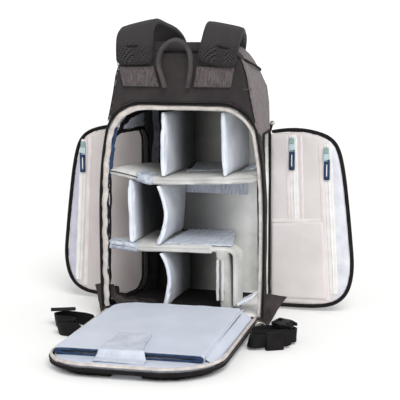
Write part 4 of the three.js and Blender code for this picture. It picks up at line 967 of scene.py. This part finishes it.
# The lower shelf's end turns down over the block
elbowLook = {"points": [(46, 136), (68, 136.3), (86, 136), (94.5, 131), (96.5, 121), (97, 80), (97, 34)],
             "nearEdge": -86, "farEdge": -38, "thick": 4.6}


def makeShelfElbow():
    look = elbowLook
    middle = (look["nearEdge"] + look["farEdge"]) / 2
    path = smoothPath([(x, middle, z) for x, z in look["points"]], 3)
    normals = []
    for i in range(len(path)):
        run = runAt(path, i)
        normals.append(Vector((-run.z, 0, run.x)))
    half = (look["farEdge"] - look["nearEdge"]) / 2
    elbow = sweepBand("shelfElbow", path, normals, half, look["thick"], sides=20, ends=0.8)
    dress(elbow, "velour")


makeShelfElbow()


# Loose cloth over the left doorway: a dark crumpled binding and a fold of pale cloth above it
looseLooks = {
    "doorwayBinding": {"points": [(-140, -66, 346), (-136, -44, 362), (-131, -18, 371),
                                  (-126, 10, 375), (-119, 42, 378), (-111, 62, 380)],
                       "half": 6.0, "thick": 1.4, "wave": 3.2, "proud": 3,
                       "normal": (0.9, -0.3, -0.2), "finish": "black"},
    "cornerCloth": {"points": [(-141, -82, 352), (-137, -70, 372), (-130, -52, 384),
                               (-124, -24, 388), (-121, 4, 389)],
                    "half": 8.0, "thick": 1.0, "wave": 3.0, "proud": 3, "normal": (0.8, -0.5, -0.4),
                    "finish": "satinHalf"},
    "footCloth": {"points": [(-138, -86, 62), (-133, -87, 44), (-118, -87, 33), (-96, -87, 29),
                             (-72, -87, 28)],
                  "half": 7.0, "thick": 1.6, "wave": 3.4, "normal": (0, -0.8, 0.5), "finish": "post"},
    "footBinding": {"points": [(-136, -80, 56), (-126, -80, 38), (-104, -80, 33), (-64, -80, 31),
                               (-52, -80, 31)],
                    "half": 8.0, "thick": 2.0, "wave": 3.8, "normal": (0, -0.7, 0.7),
                    "finish": "black"},
    "cornerSeam": {"points": [(-112, 78, 392), (-110, 78, 330), (-110, 78, 272)], "half": 2.2,
                   "thick": 2.0, "wave": 1.2, "normal": (0, -1, 0), "finish": "black"},
}


def makeLooseCloth():
    for name, look in looseLooks.items():
        path = smoothPath(look["points"], 4)
        for point in path:
            wall = liningSurface.ray_cast(Vector((0, point.y, point.z)) * mm, Vector((-1, 0, 0)))
            if wall[0] and "proud" in look:
                point.x = wall[0].x / mm + look["proud"]
        halves = []
        for i, point in enumerate(path):
            wave = noise.noise(Vector((i * 0.45, len(name), 2.0)))
            point += Vector(look["normal"]) * look["wave"] * wave * 0.6 + Vector((0, 0, look["wave"] * wave))
            halves.append(look["half"] * (1 + 0.45 * noise.noise(Vector((i * 0.38, 8.0, len(name))))))
        normals = []
        for i in range(len(path)):
            lean = 0.8 * noise.noise(Vector((i * 0.33, 1.0, 6.0)))
            normals.append(Vector(look["normal"]) + Vector((0, 0, lean)))
        dress(sweepBand(name, path, normals, halves, look["thick"], square=0.6, sides=10), look["finish"])


makeLooseCloth()


# Thin sewn flaps, gathered where their elastic pulls
flapLooks = {
    "middleCellFlap": {"node": "cell_flap_middle", "finish": "satinHalf", "rib": 8, "height": 1.4,
                       "up": (0, 0, 1), "rise": 16},
    "rightCellFlap": {"node": "cell_flap_right", "finish": "satinFolded", "rib": 9, "height": 1.2,
                      "up": (0, 0, 1), "rise": 6},
    "lowerShelfFlap": {"node": "shelf_flap_lower", "finish": "satinCreased", "rib": 11, "height": 1.0,
                       "up": (0, 0, 1), "leftEdge": -38, "nearEdge": -74, "splay": 34},
    "upperShelfFlap": {"node": "shelf_flap_upper", "finish": "satin", "rib": 7, "height": 2.6,
                       "up": (0, -1, 0), "leftEdge": -46, "rightEdge": 78},
    "baseFlap": {"node": "base_flap", "finish": "satinBright", "rib": 16, "height": 1.6,
                 "up": (0.3, -0.4, 1)},
}


def makeFlaps():
    for name, look in flapLooks.items():
        low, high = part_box(look["node"])
        left = look.get("leftEdge", low.x / mm) * mm
        right = look.get("rightEdge", high.x / mm) * mm
        near = look.get("nearEdge", low.y / mm) * mm
        bm = copyOfNode(look["node"])
        refine(bm, 3.0)
        direction = Vector(look["up"]).normalized()
        for vert in bm.verts:
            vert.co.x = left + (vert.co.x - low.x) * (right - left) / (high.x - low.x)
            vert.co.y = high.y - (high.y - vert.co.y) * (high.y - near) / (high.y - low.y)
            back = (vert.co.y - near) / (high.y - near)
            vert.co.z += look.get("rise", 0) * mm * max(0.0, back - 0.35) ** 1.5
            vert.co.x += look.get("splay", 0) * mm * (1 - back) * (vert.co.x - left) / (right - left)
            drift = 2.2 * noise.noise(Vector((vert.co.x / (20 * mm), vert.co.z / (16 * mm), 3.0)))
            rib = math.sin(vert.co.x / (look["rib"] * mm) * 2 * math.pi + drift * 2)
            soft = noise.noise(Vector((vert.co.x / (16 * mm), vert.co.y / (50 * mm), vert.co.z / (50 * mm))))
            vert.co += direction * look["height"] * mm * (0.45 * rib + soft)
        flap = dress(placeMesh(name, bm), look["finish"], replaced=[look["node"]], sharpAngle=60)


makeFlaps()


# Shoulder straps: foam under spacer mesh, folded over the lid
strapShape = {"start": -107.3, "foot": 463.4, "reach": 210, "half": 34.5, "thick": 7.2, "end": 225,
              "step": 7}
strapLine = [
    (0, 0, 0), (0.002, 0.45, 0), (0.03, 0.76, 0), (0.11, 0.93, 0), (0.22, 0.975, 0), (0.42, 0.9, 0),
    (0.72, 0.76, 0), (0.93, 0.48, 0), (1, 0.1, 0.02), (0.985, 0, 0.25), (0.98, 0, 0.6), (0.985, 0, 1),
]
strapLooks = {
    "left": {"centre": -80, "rise": 71, "roll": 8, "lean": -2, "drift": 0,
             "tuck": ((-94, 497), (-72, 497.5))},
    "right": {"centre": 66, "rise": 67, "roll": -7, "lean": 16, "drift": -40,
              "tuck": ((70, 498), (94, 493))},
}


def makeStrap(side):
    look = strapLooks[side]
    points = []
    for along, rise, drop in strapLine:
        lift = max(0.0, rise - drop * (strapShape["foot"] - strapShape["end"]) / look["rise"])
        depth = along * (strapShape["reach"] + strapShape["thick"])
        points.append((
            look["centre"] + look["lean"] * lift + look["drift"] * depth / strapShape["reach"],
            strapShape["start"] + depth,
            strapShape["foot"] + rise * look["rise"] - drop * (strapShape["foot"] - strapShape["end"]),
        ))
    path = smoothPath(points, strapShape["step"])
    normals = []
    for i, point in enumerate(path):
        run = runAt(path, i)
        lift = max(0.0, (point.z - strapShape["foot"]) / look["rise"])
        tip = look["roll"] * lift / strapShape["half"]
        normals.append(Vector((-tip * run.y, -run.z, run.y)))
    strap = sweepBand(f"{side}Strap", path, normals, strapShape["half"], strapShape["thick"], square=0.55,
                      sides=24)
    tuckStart, tuckEnd = (Vector((x, -115, z)) for x, z in look["tuck"])
    middle = (tuckStart + tuckEnd) / 2
    for vert in strap.data.vertices:
        near = vert.co / mm - middle
        if near.y < 20 and vert.co.y / mm < -105:
            share = max(0.0, 1 - abs(near.x) / 20) * math.exp(-(near.z / 5) ** 2)
            vert.co.y += 3.2 * share * mm
    smooth = strap.modifiers.new("Subdivision", "SUBSURF")
    smooth.levels = smooth.render_levels = 1
    dress(strap, "mesh", replaced=[f"shoulder_strap_{side}"], sharpAngle=80)
    # The tuck's crease also gets a black cord, as painted shade in the crease
    fold = smoothPath([tuckStart + Vector((0, 1.6, 0)), middle + Vector((0, 2.2, -1)),
                       tuckEnd + Vector((0, 1.6, 0))], 3)
    tuck = sweepBand(f"{side}StrapTuck", fold, rearward, 1.6, 1.4, square=1.0, ends=0.3)
    dress(tuck, "black")
    for edge in (-1, 1):
        rim = []
        for i, point in enumerate(path):
            run = runAt(path, i)
            across = run.cross(normals[i]).normalized()
            rim.append(point + across * edge * (strapShape["half"] - 4.5)
                       + normals[i] * (strapShape["thick"] - 1.8))
        cord(f"{side}StrapSeam{'Outer' if edge > 0 else 'Inner'}", rim, normals, 0.7, 0.6, "mesh", sides=6)


for side in strapLooks:
    makeStrap(side)


# Grab handle: padded cloth rolled into a loop
handleLook = {
    "centre": -5, "halfSpan": 30.5, "foot": 425, "rise": 82, "depth": -109.5, "half": 6.6, "thick": 4.4,
    "line": [(-0.62, 0), (-0.82, 0.24), (-1, 0.49), (-0.87, 0.76), (-0.42, 0.94), (0.06, 1), (0.52, 0.93),
             (0.85, 0.75), (0.92, 0.5), (0.85, 0.22), (0.74, 0)],
}


def makeHandle():
    look = handleLook
    points = [(look["centre"] + x * look["halfSpan"], look["depth"], look["foot"] + z * look["rise"])
              for x, z in look["line"]]
    path = smoothPath(points, 5)
    normals = []
    for i in range(len(path)):
        run = runAt(path, i)
        normals.append(run.cross(Vector((0, 1, 0))).normalized())
    handle = sweepBand("grabHandle", path, normals, look["half"], look["thick"], square=0.85, sides=16,
                       ends=0.9)
    dress(handle, "grip", replaced=["grab_handle"])


makeHandle()
print("harness ready")


# Yoke seams
yokeSeams = {
    # harnessSeam is a cord in the paler grip cloth, a painted highlight along the seam
    "harnessSeam": {"points": [(-104, 423), (-31, 421.5), (22, 422), (98, 424), (128, 423)], "half": 1.1,
                    "finish": "grip"},
    "backSeam": {"points": [(-42, 478), (-5, 477), (38, 478)], "half": 0.8},
    # slotShadow is a black cord as painted shadow under the top of the handle
    "slotShadow": {"points": [(-40, 487), (-5, 486.5), (38, 487)], "half": 2.0},
}


def makeYokeSeams():
    for name, look in yokeSeams.items():
        path = smoothPath([(x, -99.7, z) for x, z in look["points"]], 5)
        cord(name, path, rearward, look["half"], 0.7, look.get("finish", "black"))
    path = smoothPath([(x, -99.9, z - 2.6) for x, z in yokeSeams["harnessSeam"]["points"]], 1)
    stitchRow("harnessStitches", path, rearward, 4.2, 2.6, "black", thread=0.45)
    yokeSurface = surfaceOf("back_yoke")
    for side, name in ((-1, "left"), (1, "right")):
        path = []
        for i in range(13):
            z = 366 + i * (482 - 366) / 12
            hit = yokeSurface.ray_cast(Vector((side, -0.096, z * mm)), Vector((-side, 0, 0)))
            if hit[0]:
                path.append(Vector((hit[0].x / mm - side * 0.6, -97.6, z)))
        path = smoothPath(path, 6)
        cord(f"{name}YokePiping", path, rearward, 1.1, 1.1, "black")


makeYokeSeams()


# Tubes and cords that keep the frame's own path
roundLooks = {
    "lidPiping": {"node": "lid_piping", "finish": "black"},
    "leftDoorRim": {"node": "door_rim_left", "finish": "black", "grow": 1.2},
    "rightDoorRim": {"node": "door_rim_right", "finish": "black", "grow": 1.2},
    "sleeveBinding": {"node": "sleeve_binding", "finish": "navy"},
}


def makeRoundPieces():
    for name, look in roundLooks.items():
        bm = copyOfNode(look["node"])
        bmesh.ops.join_triangles(bm, faces=bm.faces, angle_face_threshold=math.radians(40),
                                 angle_shape_threshold=math.radians(60))
        if "grow" in look:
            grow(bm, look["grow"])
        piece = placeMesh(name, bm)
        smooth = piece.modifiers.new("Subdivision", "SUBSURF")
        smooth.levels = smooth.render_levels = 2
        dress(piece, look["finish"], replaced=[look["node"]], sharpAngle=179)


makeRoundPieces()


# Side doors: what is sewn on their linings, placed by distance from the hinge and height
doorFrame = {"hinge": 127.5, "hingeDepth": 65, "lift": 12, "turn": {-1: 8, 1: 1}}


def onDoor(side, out, up, proud=0.0):
    turn = math.radians(doorFrame["turn"][side])
    return Vector((
        side * (doorFrame["hinge"] + out * math.cos(turn) - proud * math.sin(turn)),
        doorFrame["hingeDepth"] - out * math.sin(turn) - proud * math.cos(turn),
        doorFrame["lift"] + up,
    ))


def doorNormal(side):
    turn = math.radians(doorFrame["turn"][side])
    return Vector((-side * math.sin(turn), -math.cos(turn), 0))


doorLooks = {
    "tapes": {
        "rightInnerZip": {"side": 1, "from": (40, 321), "to": (47, 163), "half": 8.2,
                          "node": "zip_tape_right_inner"},
        "rightOuterZip": {"side": 1, "from": (105, 306), "to": (123, 25), "half": 8.2,
                          "node": "zip_tape_right_outer"},
        "leftZip": {"side": -1, "from": (115, 303), "to": (130, 25), "half": 6.6, "node": "zip_tape_left"},
    },
    "ribbons": {
        "rightInnerRibbon": {"side": 1, "from": (29, 318), "to": (36, 164), "half": 3.2},
        "rightPleat": {"side": 1, "from": (56, 322), "to": (61, 164), "half": 2.6},
        "rightOuterRibbon": {"side": 1, "from": (93, 304), "to": (110, 12), "half": 4.4},
        "leftRibbon": {"side": -1, "from": (103, 308), "to": (116, 14), "half": 4.2},
        "rightPocketBinding": {"side": 1, "from": (3, 157), "to": (100, 162), "half": 3.8},
    },
}


def makeDoorFittings():
    for name, look in doorLooks["tapes"].items():
        side = look["side"]
        path = smoothPath([onDoor(side, *look["from"], proud=1.2), onDoor(side, *look["to"], proud=1.2)], 9)
        for i, point in enumerate(path):
            point.x += 0.8 * noise.noise(Vector((i * 0.4, len(name), 0)))
        tape = sweepBand(name, path, doorNormal(side), look["half"], 0.7, square=0.4)
        dress(tape, "white", replaced=[look["node"]])
        coilPath = [point + doorNormal(side) * 0.9 for point in path]
        cord(f"{name}Coil", coilPath, doorNormal(side), 1.5, 0.9, "white")
    for name, look in doorLooks["ribbons"].items():
        side = look["side"]
        path = smoothPath([onDoor(side, *look["from"], proud=1.0), onDoor(side, *look["to"], proud=1.0)], 9)
        for i, point in enumerate(path):
            point.x += 1.0 * noise.noise(Vector((i * 0.5, len(name) * 1.7, 0)))
        ribbon = sweepBand(name, path, doorNormal(side), look["half"], 0.9, square=0.6)
        dress(ribbon, "beigePale")
    bm = copyOfNode("door_pocket_right")
    refine(bm, 6)
    for vert in bm.verts:
        vert.co.y += 1.3 * mm * (noise.noise(vert.co / (38 * mm)) - 0.5)
    pocket = dress(placeMesh("doorPocket", bm), "beige", replaced=["door_pocket_right"])
    for side, name in ((-1, "leftDoor"), (1, "rightDoor")):
        door = bpy.data.objects[name]
        door.data.materials.append(materials["lilac" if side > 0 else "lilacShade"])
        door.data.materials.append(materials["heather"])
        tape = doorLooks["tapes"]["leftZip" if side < 0 else "rightOuterZip"]
        for face in door.data.polygons:
            out = (abs(face.center.x) / mm - doorFrame["hinge"])
            drop = tape["from"][1] - face.center.z / mm + doorFrame["lift"]
            share = drop / (tape["from"][1] - tape["to"][1])
            line = tape["from"][0] + share * (tape["to"][0] - tape["from"][0])
            if out > line and face.normal.y < -0.4:
                face.material_index = 1
            elif face.normal.y > 0.3:
                face.material_index = 2


makeDoorFittings()


# Slider at the top of the right doorway: a cast body, a ring and a short dark puller
sliderLook = {"across": 128, "depth": 65, "top": 357, "body": 11, "half": 3.1, "thick": 2.2,
              "ring": 3.6, "wire": 0.8}


def makeDoorSlider():
    look = sliderLook
    top = Vector((look["across"], look["depth"], look["top"]))
    path = smoothPath([top, top + Vector((-0.8, 0, -look["body"] / 2)),
                       top + Vector((-1.4, 0, -look["body"]))], 3)
    dress(sweepBand("doorSliderBody", path, rearward, look["half"], look["thick"], square=0.6), "metal",
          replaced=["door_slider"])
    centre = top + Vector((1.6, -2.8, -3))
    ring = []
    for i in range(16):
        turn = i / 16 * 2 * math.pi
        ring.append(centre + look["ring"] * Vector((math.cos(turn), 0, math.sin(turn))))
    cord("doorSliderRing", ring, rearward, look["wire"], look["wire"], "metal",
                    closed=True)
    path = smoothPath([centre + Vector((-0.5, -0.6, -3)), centre + Vector((-2.4, -0.8, -9)),
                       centre + Vector((-3.6, -0.8, -15))], 3)
    dress(sweepBand("doorSliderPuller", path, rearward, 2.2, 0.9), "black")


makeDoorSlider()


# Pulls: a loop of green ribbon through the slider, and a moulded tag with a narrow slot
pullLook = {"ribbonHalf": 5.0, "ribbonThick": 0.9, "tagHalf": 5.6, "tagThick": 1.3, "slotHalf": 0.9,
            "slotShare": 0.62}
pulls = {"left": -1, "right_inner": 1, "right_outer": 1}


def makePulls():
    look = pullLook
    for place, side in pulls.items():
        name = place.replace("_i", "I").replace("_o", "O")
        normal = doorNormal(side)
        across = Vector((-normal.y, normal.x, 0))
        low, high = [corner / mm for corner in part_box(f"pull_cord_{place}")]
        middle = (low + high) / 2
        path = smoothPath([(middle.x, middle.y, high.z), middle, (middle.x, middle.y, low.z - 1)], 3)
        ribbon = sweepBand(f"{name}PullRibbon", path, normal, look["ribbonHalf"], look["ribbonThick"],
                           ends=0.85)
        dress(ribbon, "pullRibbon", replaced=[f"pull_cord_{place}"])
        lower = [point + normal * (look["ribbonThick"] + 0.5) for point in path[len(path) // 2:]]
        loop = sweepBand(f"{name}PullLoop", lower, normal, look["ribbonHalf"] - 0.3, 0.6, ends=0.85)
        dress(loop, "pullRibbonPale")
        low, high = [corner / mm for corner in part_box(f"pull_tag_{place}")]
        middle = (low + high) / 2
        path = smoothPath([(middle.x, middle.y, high.z), middle, (middle.x, middle.y, low.z)], 3)
        tag = sweepBand(f"{name}PullTag", path, normal, look["tagHalf"], look["tagThick"], square=0.35,
                        ends=0.92)
        dress(tag, "navy", replaced=[f"pull_tag_{place}"])
        reach = (high.z - low.z) / 2 * look["slotShare"]
        front = middle + normal * (look["tagThick"] + 0.05)
        path = smoothPath([front + Vector((0, 0, reach)), front, front - Vector((0, 0, reach))], 3)
        slot = sweepBand(f"{name}PullSlot", path, normal, look["slotHalf"], 0.25, sides=8)
        dress(slot, "white")
        start = Vector((middle.x, middle.y, high.z + 1)) + normal * 0.8
        path = smoothPath([start - across * 5.0, start, start + across * 5.0], 3)
        dress(sweepBand(f"{name}PullJoint", path, normal, 1.6, 1.2, square=0.8, sides=8), "navy")


makePulls()
print("doors ready")


# The back panel on the floor, with its outline from the hinge round the free end
panelFrame = {"half": 135, "length": 350, "leftCorner": 72, "rightCorner": 90, "turn": 3, "hinge": -95}


def onPanel(x, y, z):
    turn = math.radians(panelFrame["turn"])
    return Vector((x * math.cos(turn) - y * math.sin(turn),
                   x * math.sin(turn) + y * math.cos(turn) + panelFrame["hinge"], z))


def panelPath(out, z, step=5.0):
    half = panelFrame["half"]
    end = -panelFrame["length"]
    points = []
    for side, corner in ((1, panelFrame["rightCorner"]), (-1, panelFrame["leftCorner"])):
        arc = []
        for i in range(9):
            turn = i / 8 * math.pi / 2
            arc.append((side * (half - corner + (corner + out) * math.cos(turn)),
                        end + corner - (corner + out) * math.sin(turn)))
        run = [(side * (half + out), -8 - i * (-end - corner - 8) / 6) for i in range(6)] + arc
        points += run if side > 0 else run[::-1]
    return smoothPath([onPanel(x, y, z) for x, y in points], step)


rimLook = {"bandOut": 3.0, "bandHeight": 21.6, "toothOut": 5.6, "toothHeight": 16.8, "tapeOut": 4.2,
           "tapeHeight": 13.4}


def makePanelRim():
    look = rimLook
    outward = []
    path = panelPath(look["bandOut"], look["bandHeight"])
    centre = onPanel(0, -150, 0)
    for point in path:
        flat = Vector((point.x - centre.x, point.y - centre.y, 0)).normalized()
        outward.append((flat + Vector((0, 0, 0.9))).normalized())
    for i, point in enumerate(path):
        point.z += 0.5 * noise.noise(Vector((i * 0.3, 0, 0)))
    band = sweepBand("panelZipBand", path, outward, 2.7, 1.4, square=0.7)
    dress(band, "cream", replaced=["panel_zip_band"])
    path = panelPath(look["tapeOut"], look["tapeHeight"])
    flatOut = [Vector((n.x, n.y, 0)).normalized() for n in outward[:len(path)]]
    flatOut += [flatOut[-1]] * (len(path) - len(flatOut))
    tape = sweepBand("panelZipTape", path, flatOut, 3.4, 2.0, square=0.6)
    dress(tape, "black", replaced=["panel_zip_teeth"])
    path = panelPath(look["toothOut"], look["toothHeight"], step=1.0)
    centreLine = [Vector((p.x - centre.x, p.y - centre.y, 0)).normalized() for p in path]
    stitchRow("panelZipTeeth", path, centreLine, 3.2, 1.7, "grip", thread=1.5)
    stitchRow("panelBandStitches", [p + Vector((0, 0, 5.4)) - n * 4.5 for p, n in zip(path, centreLine)],
              upward, 4.0, 2.4, "cream", thread=0.35)


makePanelRim()


sleeveLook = {"longest": 8, "foldSize": 42, "height": 1.5, "tabFold": 14, "tabHeight": 1.5}


def makeSleeve():
    look = sleeveLook
    bm = copyOfNode("laptop_sleeve")
    refine(bm, look["longest"])
    low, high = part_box("laptop_sleeve")
    for vert in bm.verts:
        at = Vector((vert.co.x / (look["foldSize"] * mm), vert.co.y / (look["foldSize"] * 1.6 * mm), 0))
        rise = (vert.co.z - low.z) / (high.z - low.z)
        vert.co.z += rise * look["height"] * mm * noise.noise(at)
    sleeve = dress(placeMesh("laptopSleeve", bm), "satin", replaced=["laptop_sleeve"], sharpAngle=35)
    bm = copyOfNode("sleeve_tab")
    refine(bm, 4)
    for vert in bm.verts:
        at = Vector((vert.co.x / (look["tabFold"] * mm), vert.co.y / (look["tabFold"] * 2 * mm), 1.7))
        vert.co.z += look["tabHeight"] * mm * (noise.noise(at) + 0.3)
    tab = dress(placeMesh("sleeveTab", bm), "satinCreased", replaced=["sleeve_tab"])
    low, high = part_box("sleeve_tab")
    # sewn edge down the sleeve's right side
    seam = smoothPath([onPanel(116.4, -16, 36.6), onPanel(116.0, -120, 34.4), onPanel(115.6, -302, 30.6)], 6)
    cord("sleeveSideSeam", seam, Vector((0.5, 0, 1)), 1.4, 0.8, "satin")
    slope = smoothPath([onPanel(125.5, -20, 27.4), onPanel(125.2, -120, 26.6), onPanel(123.6, -220, 25.8),
                        onPanel(119.0, -300, 24.6)], 6)
    side = sweepBand("sleeveSide", slope, Vector((0.62, 0, 1)), 9.5, 1.2, sides=12)
    dress(side, "satin")
    for number, shift in enumerate((-3.2, 3.4), 1):
        line = [point + Vector((shift, 0, 1.25 - 0.6 * shift)) for point in slope]
        cord(f"sleeveSideStitch{number}", line, Vector((0.62, 0, 1)), 0.7, 0.5, "satin", sides=6)
    back = smoothPath([onPanel(-84, -14.5, 37.6), onPanel(0, -14.2, 37.8), onPanel(106, -14.4, 37.6)], 6)
    cord("sleeveBackSeam", back, upward, 1.2, 0.7, "satin")


makeSleeve()
print("back panel ready")


# Webbing on the floor, folded and standing on edge, leaning as it turns
webbingLooks = {
    "right": {"lift": 3.2, "folds": [
        (152, -178), (188, -154), (217, -158), (226, -170), (213.5, -181), (173, -196.5), (157, -214),
        (166, -230),
        (188, -221), (224.5, -200)]},
    "left": {"lift": 0.0, "folds": [
        (-140, -168), (-165, -154.5), (-196, -151), (-212, -167), (-201, -184), (-169.5, -191),
        (-162, -203.5),
        (-176, -214), (-184, -224.5), (-169.5, -235), (-138, -232)]},
}
webbingShape = {"half": 11.6, "thick": 1.4, "lean": 0.5}


def makeWebbingBundles():
    for side, look in webbingLooks.items():
        points = [(x, y, look["lift"] + webbingShape["half"] + 0.6) for x, y in look["folds"]]
        path = smoothPath(points, 5)
        normals = []
        for i in range(len(path)):
            run = runAt(path, i)
            lean = webbingShape["lean"] * noise.noise(Vector((i * 0.12, len(side), 0.5)))
            normals.append(Vector((run.y, -run.x, lean)).normalized())
        band = sweepBand(f"{side}Webbing", path, normals, webbingShape["half"], webbingShape["thick"],
                         square=0.4, sides=10)
        dress(band, "webbing", replaced=[f"hip_webbing_{side}"])


makeWebbingBundles()


# Wings of cloth at the foot of the posts
def makeGussets():
    for side in ("left", "right"):
        bm = copyOfNode(f"base_gusset_{side}")
        refine(bm, 4)
        wrinkle(bm, 16, 0.9, seed=len(side))
        gusset = dress(placeMesh(f"{side}Gusset", bm), "post", replaced=[f"base_gusset_{side}"])


makeGussets()


# Moulded and cast pieces keep the frame's shape and get rounded edges
hardLooks = {
    "hip_buckle_left": "plastic", "hip_buckle_right": "plastic", "webbing_keeper": "black",
    "panel_slider": "metal", "panel_ring": "metal",
}


def finishHardPieces():
    for node, finish in hardLooks.items():
        piece = nodes[node]
        piece.data.materials.clear()
        piece.data.materials.append(materials[finish])
        weld = piece.modifiers.new("Weld", "WELD")
        weld.merge_threshold = 0.02 * mm
        bevel = piece.modifiers.new("Bevel", "BEVEL")
        bevel.width = 0.5 * mm
        bevel.segments = 2
        bevel.limit_method = "ANGLE"
        bevel.angle_limit = math.radians(50)
        bevel.harden_normals = False


finishHardPieces()
print("webbing, gussets and hard pieces ready")
